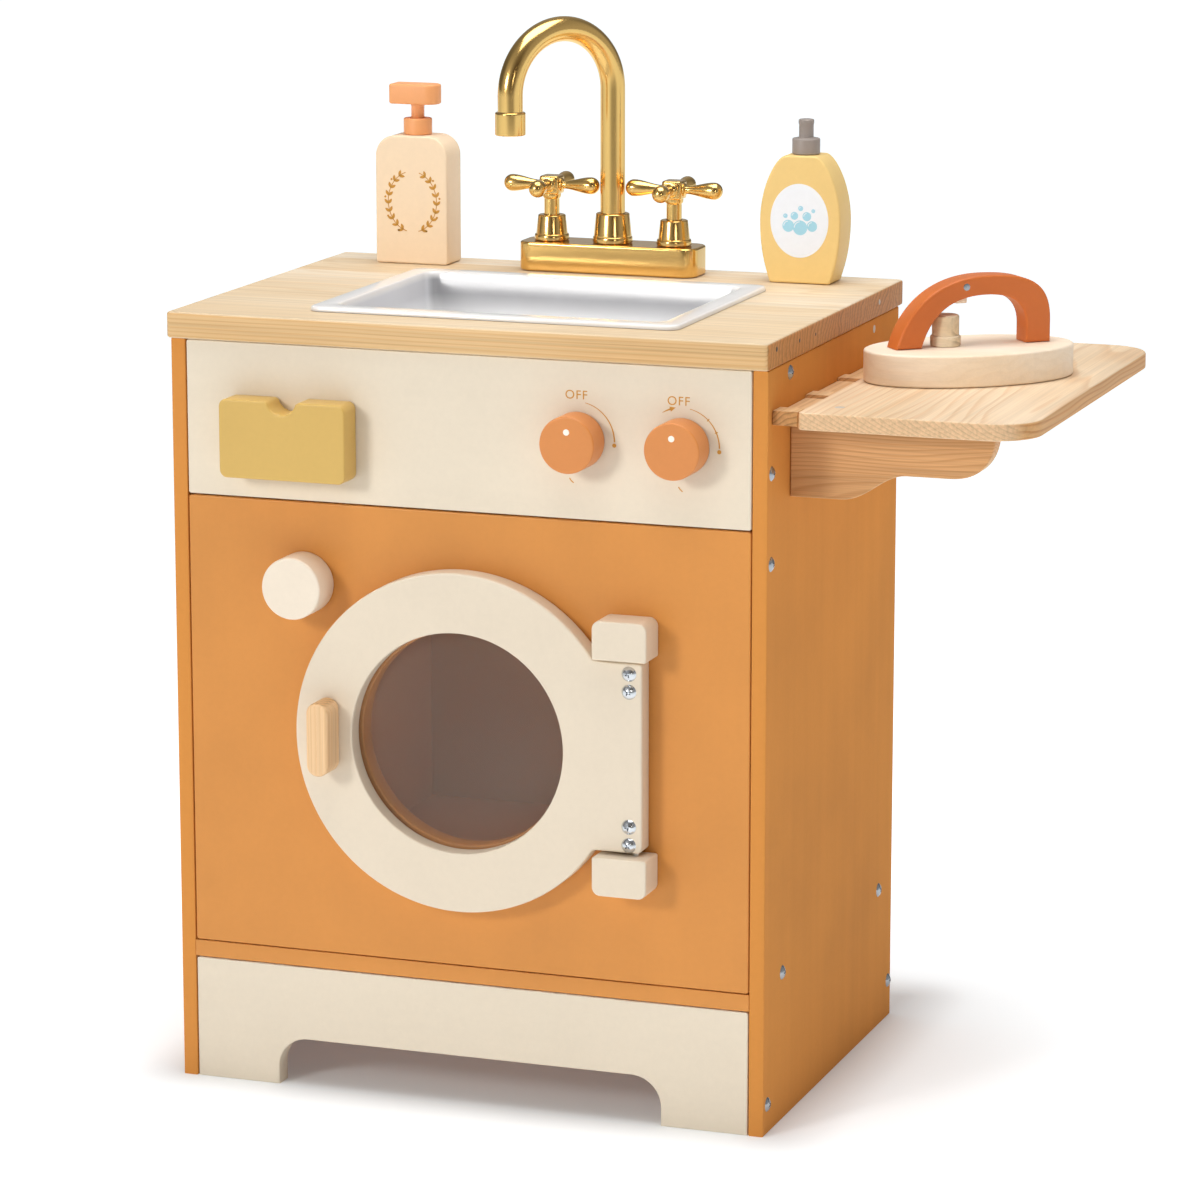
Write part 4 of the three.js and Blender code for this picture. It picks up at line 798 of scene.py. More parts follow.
def screw_head(radius, height):
    """A domed head with a cross recess: the recess is a sunk star in the middle of the dome."""
    recess = radius * 0.44
    sphere = (radius * radius + height * height) / (2 * height)

    def dome(r):
        return math.sqrt(max(0.0, sphere * sphere - r * r)) - (sphere - height)

    def star(angle):
        return recess * (0.42 + 0.58 * abs(math.cos(2 * angle)) ** 5)

    def loop(reach, z):
        return [(reach(a) * math.cos(a), reach(a) * math.sin(a), z(a)) for a in full_turn(48)]

    foot, dip, floor_reach, floor_rise = -0.25, 0.05, 0.72, 0.32
    loops = [loop(lambda a: radius, lambda a: foot)]
    for share in (1.0, 0.97, 0.85, 0.7):
        loops.append(loop(lambda a: radius * share, lambda a: dome(radius * share)))
    loops.append(loop(lambda a: star(a) * 1.05, lambda a: dome(star(a)) - dip))
    loops.append(loop(lambda a: star(a) * floor_reach, lambda a: height * floor_rise))
    return lofted(loops)


def filled_hole():
    radius, sunk, side, rise = 2.6, 0.3, 0.1, 0.2
    return turned([(0, -sunk), (radius, -sunk), (radius, side), (0, rise)], 32)


for i, z in enumerate(DOOR_SCREW.rows):
    place = shift(DOOR_SCREW.x, DOOR.front, z) @ FRONT_FACING @ spin(20 + 37 * i)
    piece(f"door_screw_{i + 1}", screw_head(DOOR_SCREW.radius, DOOR_SCREW.height), "door", "steel",
          (), place, 30)
for word, x, turn in (("right", RIGHT_FACE, 90), ("left", LEFT_FACE, -90)):
    for i, (y, z) in enumerate(SIDE_SCREWS):
        filled = (word, i) == FILLED_SCREW
        head = filled_hole() if filled else screw_head(SIDE_SCREW.radius, SIDE_SCREW.height)
        piece(f"side_screw_{word}_{i + 1}", head, "cabinet", "plug" if filled else "dark_steel", (),
              shift(x, y, z) @ spin(turn, "Y") @ spin(15 + 41 * i), 30)


# Controls

DRAWER = Sizes(left=-158.5, right=-72.5, low=405.5, high=456.0, corner=5.0, depth=20.0, back=-0.5, edge=1.2)
NOTCH = Sizes(x=-115.5, z=457.5, radius=10.0, soft=1.6)
KNOB_GAP = 0.6
DIAL = Sizes(radius=18.0, depth=20.5, edge=1.2)
DIAL_DOT_ABOVE = 8.2
START = Sizes(radius=20.0, depth=23.5, edge=1.4)
PRINT = 0.12


def drawer_outline():
    """The drawer front with its round finger notch in the top edge."""
    start = math.asin((NOTCH.z - DRAWER.high) / NOTCH.radius)
    points = rectangle(DRAWER.left, DRAWER.right, DRAWER.low, DRAWER.high, DRAWER.corner, 10)
    notch = arc(NOTCH.x, NOTCH.z, NOTCH.radius, -start, start - math.pi, 22)
    notch[0].x += NOTCH.soft
    notch[-1].x -= NOTCH.soft
    top = [i for i, p in enumerate(points) if abs(p.y - DRAWER.high) < 0.01 and p.x > NOTCH.x]
    last = max(top, key=lambda i: -points[i].x)
    return points[:last + 1] + notch + points[last + 1:]


def turning_knob(knob):
    """A round knob whose back stands off the panel by a small gap."""
    top, chamfer = knob.depth + KNOB_GAP, 0.4
    return turned([(0, KNOB_GAP), (knob.radius - chamfer, KNOB_GAP), (knob.radius, KNOB_GAP + chamfer),
                   *rim(knob.radius, top, knob.edge, steps=7), (knob.radius - knob.edge - 1, top),
                   (0, top)], 96)


piece("drawer_face", slab(drawer_outline(), 0, DRAWER.depth, DRAWER.edge, steps=4), "drawer", "mustard",
      ["drawer_front"], standing(DRAWER.back))
for word, (x, z) in zip(("left", "right"), DIALS):
    body = f"programme_dial_{word}"
    at = shift(x, 0, z) @ FRONT_FACING
    piece(f"dial_knob_{word}", turning_knob(DIAL), body, "terracotta",
          [f"dial_{word}"], at)
    piece(f"dial_dot_{word}", disc(2.0, 21.05, 21.18, 21.22, bevel=0.15), body, "dot", (),
          at @ shift(0, DIAL_DOT_ABOVE, 0))
piece("start_button", turning_knob(START), "start_knob", "knob", ["start_knob"],
      shift(START_KNOB[0], 0, START_KNOB[1]) @ FRONT_FACING)


# Prints on the control panel

LETTERS = Sizes(places=((75.1, 465.8), (142.1, 465.6)), height=5.5, height_share=0.69, spacing=1.12)
SCALE = Sizes(radius=24.2, start=12, sweep=78, dot_at=95, dot=1.35)
TICKS = Sizes(angles=(44, 66), inner=23.2, outer=25.3, width=0.6)
TAIL = Sizes(start=-32, sweep=14, arrow=((25.9, -19), (24.5, -10), (22.6, -19)))
DASH = Sizes(places=((72.2, 413.8), (143.8, 412.6)), bends=((-1.6, 1.9), (-0.4, 0.2), (1.1, -1.0)), width=0.7)


def band(points, width):
    """A flat printed line along points, as a thin raised strip; width is a length or a function."""
    left, right = [], []
    for i, p in enumerate(points):
        ahead = (points[min(i + 1, len(points) - 1)] - points[max(i - 1, 0)]).normalized()
        side = Vector((-ahead.y, ahead.x))
        here = width(i / (len(points) - 1)) if callable(width) else width
        left.append(p + side * here / 2)
        right.append(p - side * here / 2)
    return slab(left + right[::-1], 0, PRINT, 0)


def blob(x, y, radius, steps=20):
    return slab(circle(x, y, radius, steps), 0, PRINT, 0)


def lettering(name, text, x, z):
    """Generic words as thin raised letters on the control panel."""
    curve = bpy.data.curves.new(name, "FONT")
    curve.body = text
    curve.size = LETTERS.height / LETTERS.height_share * MM
    curve.align_x = "CENTER"
    curve.space_character = LETTERS.spacing
    curve.extrude = PRINT / 2 * MM
    written = bpy.data.objects.new(name, curve)
    scene.collection.objects.link(written)
    written.matrix_world = Matrix.Translation((Vector((x, -PRINT / 2, z)) + SHIFT) * MM) @ FRONT_FACING
    bpy.context.view_layer.update()
    mesh = bpy.data.meshes.new_from_object(written)
    mesh.transform(written.matrix_world)
    bpy.data.objects.remove(written)
    made = bpy.data.objects.new(name, mesh)
    scene.collection.objects.link(made)
    mesh.materials.clear()
    mesh.materials.append(MATS["ochre"])
    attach(made, "cabinet")


def around(i, radius, degrees):
    """A point round a dial, in degrees clockwise from the top."""
    x, z = DIALS[i]
    a = math.radians(90 - degrees)
    return Vector((x + radius * math.cos(a), z + radius * math.sin(a)))


def dial_prints():
    """A scale that widens towards its dot at each dial; the right one also has ticks and an arrow."""
    shapes = []
    for i in (0, 1):
        sweep = [around(i, SCALE.radius, SCALE.start + SCALE.sweep * k / 24) for k in range(25)]
        end = around(i, SCALE.radius, SCALE.dot_at)
        shapes += [band(sweep, lambda t: 0.35 + 0.55 * t), blob(end.x, end.y, SCALE.dot)]
    for degrees in TICKS.angles:
        shapes.append(band([around(1, TICKS.inner, degrees), around(1, TICKS.outer, degrees)], TICKS.width))
    tail = [around(1, SCALE.radius, TAIL.start + TAIL.sweep * k / 6) for k in range(7)]
    shapes.append(band(tail, lambda t: 0.3 + 0.9 * t))
    arrow = [around(1, radius, degrees) for radius, degrees in TAIL.arrow]
    shapes.append(slab(arrow[::-1], 0, PRINT, 0))
    for x, z in DASH.places:
        shapes.append(band([Vector((x + across, z + up)) for across, up in DASH.bends], DASH.width))
    return merged(shapes)


for i, (x, z) in enumerate(LETTERS.places):
    lettering(f"off_print_{i + 1}", "OFF", x, z)
piece("dial_prints", dial_prints(), "cabinet", "ochre", (), standing(0))


# Sink

WELL = Sizes(half_x=110.25, half_y=80.5, corner=8.8, lip=508.7, wall_foot=463.5, floor=460.3, lean=4.4,
             bend_in=3.0, bend_down=3.2)
SINK_OUTSIDE = ((-8.6, 8.8, 457.8), (-2.5, 10, 463.8), (2.4, 11, 507.3))
SINK_RIM = ((3, 8, 507.3), (14, 8.5, 507.3), (14, 8.5, 508.9), (13.7, 8.2, 509.6), (13.1, 7.8, 510.1),
            (12.2, 7.2, 510.3), (1.9, 9.4, 510.3), (0.9, 9, 510.05), (0.3, 8.8, 509.5), (0, 8.6, WELL.lip))


def sink_shape():
    """One skin over rings: the outside, the rim, walls that lean in, and a soft turn into the floor.
    A ring is its distance outwards from the well's mouth, the radius of its corners and its height."""
    rings = [*SINK_OUTSIDE, *SINK_RIM]
    for share in (0.35, 0.7):
        rings.append((-WELL.lean * share, WELL.corner, WELL.lip - (WELL.lip - WELL.wall_foot) * share))
    for a in (QUARTER * k / 4 for k in range(5)):
        inwards = WELL.lean + WELL.bend_in * (1 - math.cos(a))
        rings.append((-inwards, WELL.corner, WELL.floor + WELL.bend_down * (1 - math.sin(a))))
    rings.append((-40, 8, WELL.floor - 0.4))
    return lofted([[Vector((p.x, p.y, z)) for p in
                    centred(SINK, WELL.half_x + outwards, WELL.half_y + outwards, corner, 10)]
                   for outwards, corner, z in rings])


piece("sink_bowl", sink_shape(), "cabinet", "white", ["sink_basin"], sharp=40)


# Tap

TAP_FOOT = Sizes(half_x=63.0, half_y=17.0, corner=10.0, edge=1.5, height=19.5)
TAP_TOP = TOP + SEAT + TAP_FOOT.height
TAP_AT = shift(*TAP, 0)
SKIRT = Sizes(flange=13.5, foot=12.8, head=11.3, height=19.8, bore=8.7)
CUP = Sizes(flange=11.8, foot=10.6, head=9.3, height=17.0, bore=5.5, outwards=43.5)
SPOUT = Sizes(radius=8.4, foot=6.0, rise=103.5, bend=42.0, drop=10.0, turn=-34)
SPOUT_AT = TAP_AT @ shift(0, 0, TAP_TOP) @ spin(SPOUT.turn)
NOZZLE = Sizes(radius=10.2, bore=8.4, height=15.3, hollow=10.0)
ARM = Sizes(start=5.0, collar=4.6, neck_start=8.6, neck=2.7, ball=5.8, reach=34.0)
HUB = Sizes(half=7.0, corner=2.6, low=31.0, high=43.5, edge=1.6)


def flanged(cone):
    """A cone on a round flange, open at the top for what stands in it."""
    thick, depth, side = 4.5, 6.0, 0.45
    flange, height = cone.flange, cone.height
    lip = flange - cone.foot
    profile = [(0, 0), (flange - 0.5, 0), (flange, 0.5), (flange, thick * side)]
    profile += [(flange - lip * (1 - math.cos(a)) * 0.9, thick * (side + 0.5 * math.sin(a)))
                for a in (QUARTER * k / 5 for k in range(1, 6))]
    profile += [(cone.foot + 0.1, thick), (cone.foot, thick + 0.6), (cone.head + 0.1, height - 1.0),
                (cone.head - 0.1, height - 0.4), (cone.head - 0.7, height), (cone.bore, height),
                (cone.bore, height - depth), (0, height - depth)]
    return turned(profile, 72)


def spout_path():
    points = [Vector((0, 0, z)) for z in (SPOUT.foot, 30.0, 60.0, 85.0, SPOUT.rise)]
    points += [Vector((0, SPOUT.bend * (math.cos(a) - 1), SPOUT.rise + SPOUT.bend * math.sin(a)))
               for a in (math.pi * k / 56 for k in range(1, 57))]
    return [*points, Vector((0, -2 * SPOUT.bend, SPOUT.rise - SPOUT.drop))]


def nozzle_shape():
    """A shell that is hollow from below; its top is at z = 0."""
    radius, bore, low = NOZZLE.radius, NOZZLE.bore, -NOZZLE.height
    return turned([(0, -NOZZLE.hollow), (bore, -NOZZLE.hollow), (bore, low + 0.3), (bore + 0.4, low),
                   (radius - 0.8, low), *rim(radius, low, 0.8, True, 4), (radius, -1.6),
                   *rim(radius, 0, 1.2), (radius - 1.2, 0), (0, 0)], 72)


def cross_arm():
    """A slim neck that swells to a ball end, along +x, from the hub's side."""
    middle = ARM.reach - ARM.ball
    profile = [(0, ARM.start), (ARM.collar, ARM.start), (ARM.collar, ARM.start + 2.4),
               (ARM.collar - 0.5, ARM.start + 3.0), (ARM.neck, ARM.neck_start)]
    for t in (k / 12 for k in range(1, 13)):
        swell = t * t * (3 - 2 * t)
        profile.append((ARM.neck + (ARM.ball - ARM.neck) * swell,
                        ARM.neck_start + (middle - ARM.neck_start) * t))
    profile += [(ARM.ball * math.cos(a), middle + ARM.ball * math.sin(a))
                for a in (QUARTER * k / 9 for k in range(1, 9))]
    return transformed(turned([*profile, (0, ARM.reach)], 40), spin(90, "Y"))


def cross_handle():
    """A square hub with a round button, on a stem, and four arms."""
    low, high = HUB.low, HUB.high
    hub = slab(centred((0, 0), HUB.half, HUB.half, HUB.corner, 6), low, high, HUB.edge, steps=4)
    button = turned([(0, high - 1), (4.6, high - 1), (4.6, high - 0.2), (3.9, high - 0.02),
                     (0, high - 0.02)], 40)
    stem = turned([(0, 7.2), (5.2, 7.2), (5.2, low - 3.2), (6.0, low - 2.4), (6.3, low - 1.2),
                   (6.3, low + 0.5), (0, low + 0.5)], 48)
    arms = [transformed(cross_arm(), shift(0, 0, (low + high) / 2) @ spin(90 * k)) for k in range(4)]
    return merged([hub, button, stem, *arms])


foot_outline = centred((0, 0), TAP_FOOT.half_x, TAP_FOOT.half_y, TAP_FOOT.corner, 14)
piece("tap_foot", slab(foot_outline, TOP + SEAT, TAP_TOP, TAP_FOOT.edge, steps=6), "cabinet", "gold",
      ["tap_base"], TAP_AT)
piece("spout_skirt", flanged(SKIRT), "cabinet", "gold", ["spout_collar"],
      TAP_AT @ shift(0, 0, TAP_TOP + SEAT))
piece("spout_pipe", swept(spout_path(), SPOUT.radius, 48), "tap_spout", "gold", ["spout"],
      SPOUT_AT, 60)
piece("spout_nozzle", nozzle_shape(), "tap_spout", "gold", ["aerator"],
      SPOUT_AT @ shift(0, -2 * SPOUT.bend, SPOUT.rise - SPOUT.drop - SEAT), 40)
for word, side in (("left", -1), ("right", 1)):
    at = TAP_AT @ shift(side * CUP.outwards, 0, TAP_TOP + SEAT)
    piece(f"bonnet_cup_{word}", flanged(CUP), "cabinet", "gold", [f"bonnet_{word}"], at)
    piece(f"cross_turn_{word}", cross_handle(), f"tap_handle_{word}", "gold",
          [f"cross_handle_{word}"], at)


# Shelf

SHELF = Sizes(left=216.3, right=363.8, front=6.0, back=332.0, low=453.5, top=464.5, edge=1.4,
              corners=(4, 30, 30, 4))
RAIL = Sizes(front=7.0, back=248.0, low=455.5, dip=2.8, block=15.0, tooth=16.0, pitch=69.0, slant=1.2,
             tooth_drop=0.8, width=16.2, edge=0.6)
BRACKET = Sizes(top=453.2, height=49.0, reach=131.7, board=15.0, edge=1.0)
BRACKET_SHARES = ((0.25, 1), (0.38, 1), (0.45, 0.65), (0.57, 0.65), (0.78, 0.65), (0.95, 0.65), (1, 0.35),
                  (1, 0))


def rail_outline():
    """The toothed rail seen from the side, in y and z: a full block in front, low teeth behind it."""
    dip = SHELF.top - RAIL.dip
    points = [Vector((RAIL.front, RAIL.low)), Vector((RAIL.back, RAIL.low)), Vector((RAIL.back, dip))]
    for start in (RAIL.front + k * RAIL.pitch for k in (3, 2, 1)):
        high = SHELF.top - RAIL.tooth_drop
        points += [Vector((start + RAIL.tooth, dip)), Vector((start + RAIL.tooth - RAIL.slant, high)),
                   Vector((start, high)), Vector((start - RAIL.slant, dip))]
    block_end = RAIL.front + RAIL.block
    return points + [Vector((block_end + RAIL.slant, dip)), Vector((block_end, SHELF.top)),
                     Vector((RAIL.front, SHELF.top))]


def bracket_outline():
    """Seen from the front; the shares give its lower curve, along its reach and down its height."""
    x = RIGHT_FACE + SEAT
    flat_end, c1, c2, waist, hip, c3, c4, tip = [
        Vector((x + along * BRACKET.reach, BRACKET.top - down * BRACKET.height))
        for along, down in BRACKET_SHARES]
    return [Vector((x, BRACKET.top)), Vector((x, BRACKET.top - BRACKET.height)), flat_end,
            *bezier(flat_end, c1, c2, waist, 14), hip, *bezier(hip, c3, c4, tip, 18)]


def end_pin(radius, y, z):
    """A filled hole in the right end of the worktop."""
    return transformed(disc(radius, -0.3, 0.0, 0.16, 20), shift(WORKTOP.right, y, z) @ spin(90, "Y"))


plank_outline = rectangle(SHELF.left, SHELF.right, SHELF.front, SHELF.back, SHELF.corners, 14)
piece("shelf_plank", slab(plank_outline, SHELF.low, SHELF.top, SHELF.edge, steps=5),
      "cabinet", "shelf", ["shelf_board"])
piece("rail_strip", slab(rail_outline(), SEAT, SEAT + RAIL.width, RAIL.edge), "cabinet", "rail",
      ["shelf_rail"], sideways(RIGHT_FACE))
for word, y in (("front", 45), ("rear", 243)):
    piece(f"bracket_board_{word}", slab(bracket_outline(), 0, BRACKET.board, BRACKET.edge, steps=4),
          "cabinet", "bracket", [f"bracket_{word}"], standing(y + BRACKET.board))
shelf_dots = [transformed(disc(3.2, -0.2, 0.0, 0.14), shift(235.8, y, SHELF.top)) for y in (32.4, 252.0)]
piece("shelf_screw_plugs", merged(shelf_dots), "cabinet", "plug")
end_pins = [end_pin(1.7, 14, 501.6), end_pin(1.4, 61, 500.0), end_pin(1.1, 95, 499.0)]
piece("worktop_end_pins", merged(end_pins), "cabinet", "pin")
piece("worktop_rear_pin", end_pin(1.9, 237, 499.6), "cabinet", "plug")


# Soap dispenser

SOAP = (-134.35, 263.5)
SOAP_AT = shift(*SOAP, TOP + SEAT)
FLASK = Sizes(half=26.0, height=87.0, depth=27.0, edge=1.3, corners=(2, 2, 14, 14))
WREATH = Sizes(half_x=17.6, half_y=20.6, start=14, sweep=150, line=0.55, leaf=(4.3, 1.9), leaf_from=22,
               leaf_step=15.6, berry_from=31, berry_step=33, berry=0.75, berry_out=2.3)


def upright(outline, depth, edge):
    """A board that stands across y = 0, with half of its depth on each side."""
    return transformed(slab(outline, 0, depth, edge, steps=6), shift(0, depth / 2, 0) @ FRONT_FACING)


def leaf(x, y, length, width, degrees):
    """A pointed leaf that starts at a point."""
    shares = [(k / 8, 1) for k in range(9)] + [(k / 8, -1) for k in range(7, 0, -1)]
    turn = Matrix.Rotation(math.radians(degrees), 2)
    return slab([turn @ Vector((length * t, side * width / 2 * math.sin(math.pi * t) ** 0.8)) + Vector((x, y))
                 for t, side in shares], 0, PRINT, 0)


def wreath():
    """Two sprigs that rise from the foot on both sides, with round berries between their leaves."""
    shapes = []
    for side in (-1, 1):
        def spot(degrees):
            a = math.radians(degrees)
            return Vector((side * WREATH.half_x * math.sin(a), -WREATH.half_y * math.cos(a)))
        shapes.append(band([spot(WREATH.start + WREATH.sweep * k / 40) for k in range(41)], WREATH.line))
        for degrees in (WREATH.leaf_from + WREATH.leaf_step * k for k in range(9)):
            p = spot(degrees)
            ahead = spot(degrees + 4) - p
            heading = math.degrees(math.atan2(ahead.y, ahead.x))
            shapes += [leaf(p.x, p.y, *WREATH.leaf, heading + lean) for lean in (38, -38)]
        for k in range(4):
            p = spot(WREATH.berry_from + WREATH.berry_step * k)
            p += p.normalized() * WREATH.berry_out
            shapes.append(blob(p.x, p.y, WREATH.berry))
    return merged(shapes)


flask_outline = rectangle(-FLASK.half, FLASK.half, 0, FLASK.height, FLASK.corners, 14)
piece("soap_flask", upright(flask_outline, FLASK.depth, FLASK.edge), "soap_dispenser", "vanilla",
      ["soap_bottle"], SOAP_AT)
soap_ring = turned([(5.1, 87.3), (9.35, 87.3), (9.75, 87.7), *rim(9.75, 98.2, 1.0), (5.5, 98.2),
                    (5.1, 97.8), (5.1, 87.3)])
piece("soap_neck", soap_ring, "soap_dispenser", "peach", ["soap_collar"], SOAP_AT)
head = slab(rectangle(-18.05, 16.45, -9, 9, [2.4, 8.7, 8.7, 2.4], 10), 107.8, 121.4, 1.5, steps=6)
stem = turned([(0, 75.0), (4.1, 75.0), (4.5, 75.6), (4.5, 106.2), (4.8, 107.0), (5.2, 107.6), (5.2, 108.7),
               (0, 108.7)], 48)
piece("soap_press", merged([head, stem]), "soap_pump", "peach", ["soap_pump"], SOAP_AT)
piece("soap_wreath", wreath(), "soap_dispenser", "ochre", (),
      shift(SOAP[0] + 0.9, SOAP[1] - FLASK.depth / 2, 549.7) @ FRONT_FACING)


# Detergent bottle

DETERGENT = (141.9, 262.0)
DETERGENT_AT = shift(*DETERGENT, TOP + SEAT)
BOTTLE = Sizes(foot=21.5, foot_corner=2.2, belly=27.8, belly_height=41.0, neck=10.0, height=84.5,
               depth=26.5, edge=1.5)
LABEL_AT = shift(DETERGENT[0] - 0.2, DETERGENT[1] - BOTTLE.depth / 2, 549.0) @ FRONT_FACING
LABEL = Sizes(half_x=20.0, half_y=24.5, sunk=0.05, raised=0.12)
BUBBLES = ((-7.6, -3.6, 4.0), (0.6, -4.6, 4.9), (8.8, -3.4, 3.5), (-3.4, 3.2, 2.6), (5.2, 3.0, 3.0),
           (-9.6, 3.0, 1.5), (0.9, 8.2, 1.7), (9.6, 6.8, 1.3))


def detergent_outline():
    foot, belly, middle = BOTTLE.foot, BOTTLE.belly, BOTTLE.belly_height
    neck, height, corner = BOTTLE.neck, BOTTLE.height, BOTTLE.foot_corner
    low = [(foot, corner), (foot + 0.62 * (belly - foot), 0.33 * middle), (belly, 0.6 * middle),
           (belly, middle)]
    high = [(belly, middle), (belly, middle + 0.54 * (height - middle)),
            (neck + 0.36 * (belly - neck), height), (neck, height)]
    right = arc(foot - corner, corner, corner, -QUARTER, 0, 5) + bezier(*low, 14) + bezier(*high, 24)
    return right + [Vector((-p.x, p.y)) for p in reversed(right)]


def glint(x, y, radius):
    """A bright line inside the upper left of a bubble."""
    line = arc(x, y, radius - 0.9, math.radians(95), math.radians(180), 10)
    return transformed(band(line, 0.28 + 0.05 * radius), shift(0, 0, 0.12))


piece("detergent_flask", upright(detergent_outline(), BOTTLE.depth, BOTTLE.edge), "detergent", "butter",
      ["detergent_bottle"], DETERGENT_AT)
cap = turned([(0, 84.8), (8.9, 84.8), (9.3, 85.3), *rim(9.3, 95.2, 1.1), (6.0, 95.2), (5.0, 95.7),
              (4.9, 96.6), (4.9, 104.1), (5.2, 104.8), *rim(5.2, 107.7, 1.0), (2.2, 107.7), (1.9, 107.2),
              (0, 107.2)])
piece("detergent_top", cap, "detergent", "grey", ["detergent_cap"], DETERGENT_AT)
oval = slab(ellipse(LABEL.half_x, LABEL.half_y, 96), -LABEL.sunk, LABEL.raised, 0.05, steps=2)
piece("detergent_label", oval, "detergent", "label", (), LABEL_AT)
bubbles = [transformed(blob(*bubble, 36), shift(0, 0, 0.06)) for bubble in BUBBLES]
piece("detergent_bubbles", merged(bubbles), "detergent", "sky", (), LABEL_AT)
glints = merged([glint(*bubble) for bubble in BUBBLES])
piece("detergent_bubble_glints", glints, "detergent", "label", (), LABEL_AT)


# Iron

IRON_AT = shift(280.05, 170, SHELF.top + SEAT) @ spin(40)
SOLE = Sizes(half_x=71.0, half_y=42.0, height=20.5, edge=1.6)
HANDLE = Sizes(start=-53.0, length=107.5, height=44.7, depth=16.6, edge=1.6, y=2.1)
ON_SOLE = SOLE.height + SEAT


def iron_arch():
    """The handle seen from the side, in shares of its length and height."""
    def at(along, up):
        return Vector((HANDLE.start + along * HANDLE.length, up * HANDLE.height))

    crown, tip_end, inner_crown, heel_end = at(0.58, 1), at(1, 0.32), at(0.58, 0.72), at(0.165, 0)
    inner_tip = at(0.842, 0.26)
    points = [at(0, 0), heel_end, *bezier(heel_end, at(0.23, 0.53), at(0.38, 0.72), inner_crown, 24)]
    points += bezier(inner_crown, at(0.755, 0.72), at(0.838, 0.57), inner_tip, 18)
    points += [at(0.842, 0), at(1, 0), tip_end, *bezier(tip_end, at(1, 0.86), at(0.86, 1), crown, 22)]
    return points + bezier(crown, at(0.27, 1), at(0.07, 0.6), at(0, 0), 26)[:-1]


piece("iron_base", slab(ellipse(SOLE.half_x, SOLE.half_y, 160), 0, SOLE.height, SOLE.edge, steps=5),
      "iron", "sole", ["iron_sole"], IRON_AT)
piece("iron_grip", upright(iron_arch(), HANDLE.depth, HANDLE.edge), "iron", "rust",
      ["iron_handle"], IRON_AT @ shift(0, HANDLE.y, ON_SOLE))
dial = turned([(0, 20.8), (9.4, 20.8), (9.8, 21.2), *rim(9.8, 27.3, 0.9), (8.9, 27.35), (8.4, 27.6),
               (8.7, 28.0), *rim(8.7, 40.6, 1.5), (0, 40.6)])
piece("iron_dial", dial, "iron_knob", "birch", ["iron_knob"], IRON_AT @ shift(-15.2, 3, 0))
tab = slab(rectangle(-10.5, -2.6, -4.4, 4.4, 1.2, 4), 47.8, 51.0, 0.6, steps=3)
piece("iron_thumb_tab", tab, "iron", "sole", (), IRON_AT @ shift(0, HANDLE.y, 0))
piece("iron_grip_plug", disc(2.3, -0.2, 0.05, 0.14), "iron", "dark_steel", (),
      IRON_AT @ shift(-5, HANDLE.y - HANDLE.depth / 2, ON_SOLE + 37.9) @ FRONT_FACING)


# Floor and world

FOOTPRINT = Sizes(middle=(-0.079, 0.02), half=(0.195, 0.16))
# Floor glow by distance from the footprint; the low glow next to it is a painted shadow.
GLOW = ((0.0, 0.12), (0.0125, 0.52), (0.04, 0.64), (0.15, 0.68), (0.375, 0.7), (0.75, 0.82), (1.0, 0.9))
GLOW_REACH = 4.0
FAR_GLOW = ((0.0, 0.55), (0.09, 0.95), (0.2, 1.0), (0.28, 0.25), (0.37, 0.2), (0.43, 0.95), (0.6, 1.0),
            (0.67, 0.6), (0.74, 1.0), (0.9, 1.0), (1.0, 0.55))
WALLS = ((0.0, 0.22), (0.05, 0.35), (0.1, 0.95), (0.19, 1.0), (0.24, 0.55), (0.3, (0.2, 0.16, 0.12, 1.0)),
         (0.37, (0.18, 0.14, 0.1, 1.0)), (0.43, 0.75), (0.6, 0.95), (0.68, 0.25), (0.8, 0.8), (0.92, 0.3),
         (1.0, 0.22))
WORLD_STRENGTH = 0.52


def azimuth(tree, direction):
    """Where a direction points: 0.25 to the front, 0.5 to the right, 0.75 back, 0 or 1 to the left."""
    parts = parts_of(tree, direction)
    return between(tree, calc(tree, "ARCTAN2", parts["Y"], parts["X"]), -math.pi, math.pi)


def vectors(tree, operation, a, b=(0, 0, 0)):
    return node(tree, "ShaderNodeVectorMath", {0: a, 1: b}, operation=operation).outputs


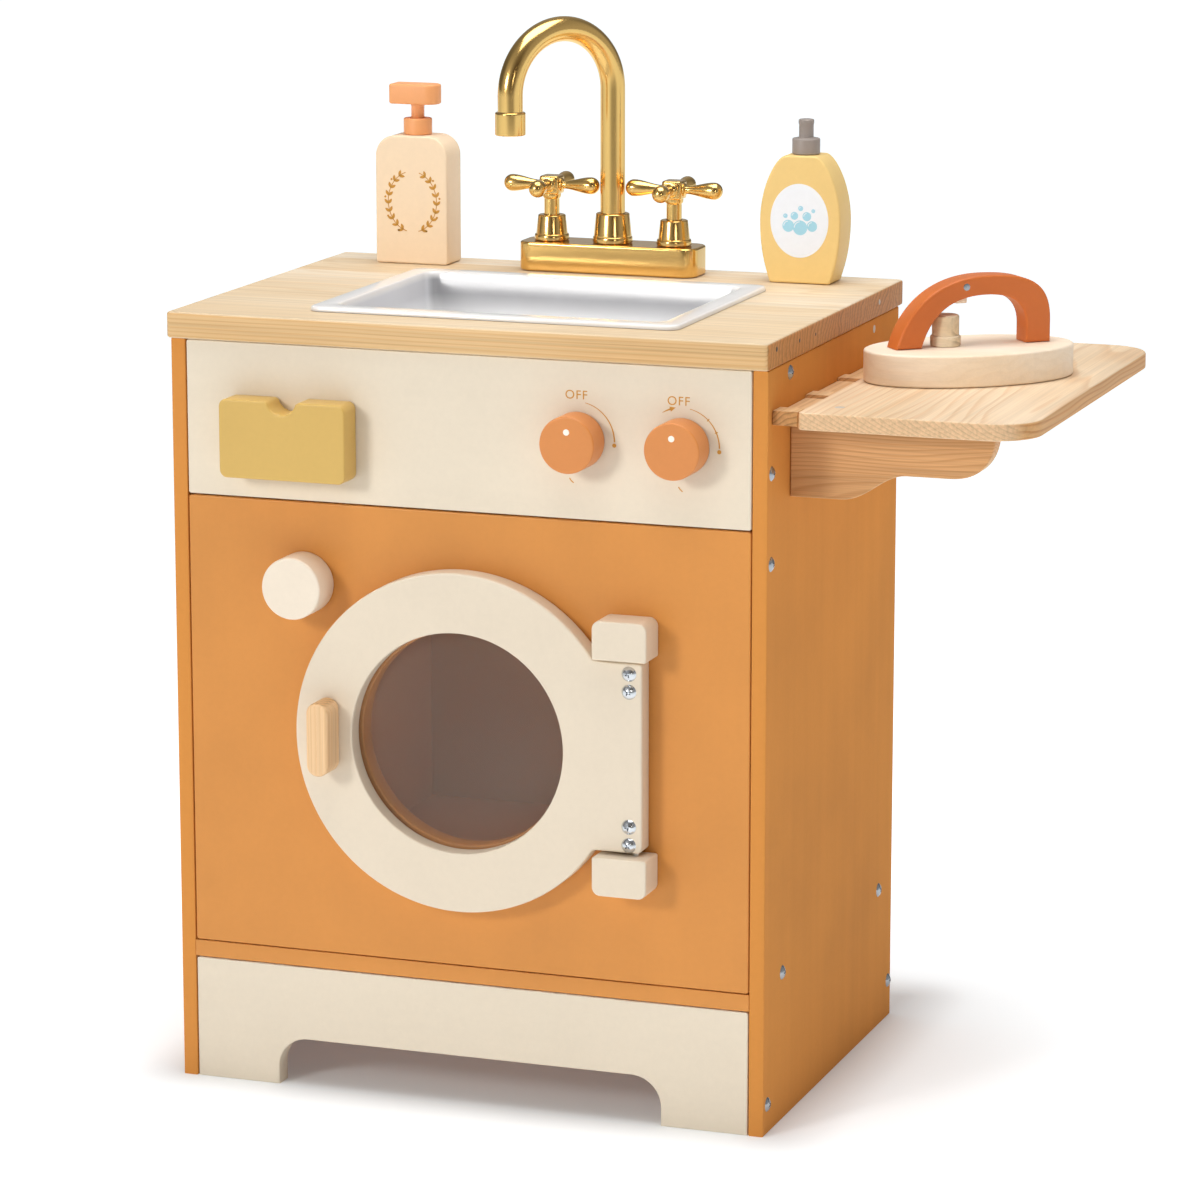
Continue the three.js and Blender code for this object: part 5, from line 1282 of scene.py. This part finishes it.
def floor_material():
    """A floor that glows by itself as painted light: its glow is lowest next to the cabinet's foot, a painted
    shadow, brighter away from it, and far off brighter on some sides than on others, which the gold and the
    steel reflect."""
    mat, tree, shader, where = new_material("pale_floor")
    fixed(shader, {"Base Color": (0.8, 0.8, 0.8, 1), "Roughness": 0.9, "Specular IOR Level": 0.0,
                   "Emission Color": (0.88, 0.955, 1.0, 1)})
    away = vectors(tree, "SUBTRACT", where, (*FOOTPRINT.middle, 0))[0]
    away = vectors(tree, "SUBTRACT", vectors(tree, "ABSOLUTE", away)[0], (*FOOTPRINT.half, 0))[0]
    away = vectors(tree, "LENGTH", vectors(tree, "MAXIMUM", away)[0])["Value"]
    glow = ramp(tree, between(tree, away, 0.0, GLOW_REACH), GLOW)
    far_off = between(tree, away, 0.6, 2.0)
    glow = tinted(tree, glow, mix(tree, 1.0, ramp(tree, azimuth(tree, where), FAR_GLOW), far_off))
    tree.links.new(glow, shader.inputs["Emission Strength"])
    return mat


floor_mesh = bpy.data.meshes.new("studio_floor")
floor_mesh.from_pydata([(-30, -12, 0), (30, -12, 0), (30, 48, 0), (-30, 48, 0)], [], [(0, 1, 2, 3)])
floor_mesh.materials.append(floor_material())
floor = bpy.data.objects.new("studio_floor", floor_mesh)
scene.collection.objects.link(floor)

world = bpy.data.worlds.new("studio")
world.use_nodes = True
scene.world = world
sky_tree = world.node_tree
background = sky_tree.nodes["Background"]
view = sky_tree.nodes.new("ShaderNodeTexCoord").outputs["Generated"]
walls = ramp(sky_tree, azimuth(sky_tree, view), WALLS)
above = between(sky_tree, parts_of(sky_tree, view)["Z"], 0.35, 0.9)
sky_tree.links.new(mix(sky_tree, walls, 0.5, above), background.inputs["Color"])
background.inputs["Strength"].default_value = WORLD_STRENGTH


# Lights and camera

def soft_light(name, place, target, size, power, colour=(1, 1, 1), spread=180):
    data = bpy.data.lights.new(name, "AREA")
    data.size = size
    data.energy = power
    data.color = colour
    data.spread = math.radians(spread)
    made = bpy.data.objects.new(name, data)
    scene.collection.objects.link(made)
    made.location = place
    made.rotation_euler = (Vector(target) - Vector(place)).to_track_quat("-Z", "Y").to_euler()


soft_light("key", (-1.04, -2.05, 1.13), (-0.07, -0.15, 0.42), 0.5, 2.12, (1.0, 0.985, 0.965), 60)
soft_light("shelf_fill", (1.5, -2.1, 0.95), (0.24, 0.02, 0.47), 0.5, 0.075, (1.0, 0.97, 0.93), 14)
soft_light("top", (0.1, -0.1, 2.4), (0, 0.05, 0.4), 1.7, 41)

camera_data = bpy.data.cameras.new("camera")
camera_data.lens = 144.65
camera_data.sensor_width = 36.0
camera_data.clip_end = 100
camera = bpy.data.objects.new("camera", camera_data)
scene.collection.objects.link(camera)
camera.location = (0.9983, -2.9228, 0.9647)
camera.rotation_euler = (math.radians(90 - 11.983), 0, math.radians(19.605))
scene.camera = camera
scene.view_settings.view_transform = "Standard"
scene.view_settings.look = "None"
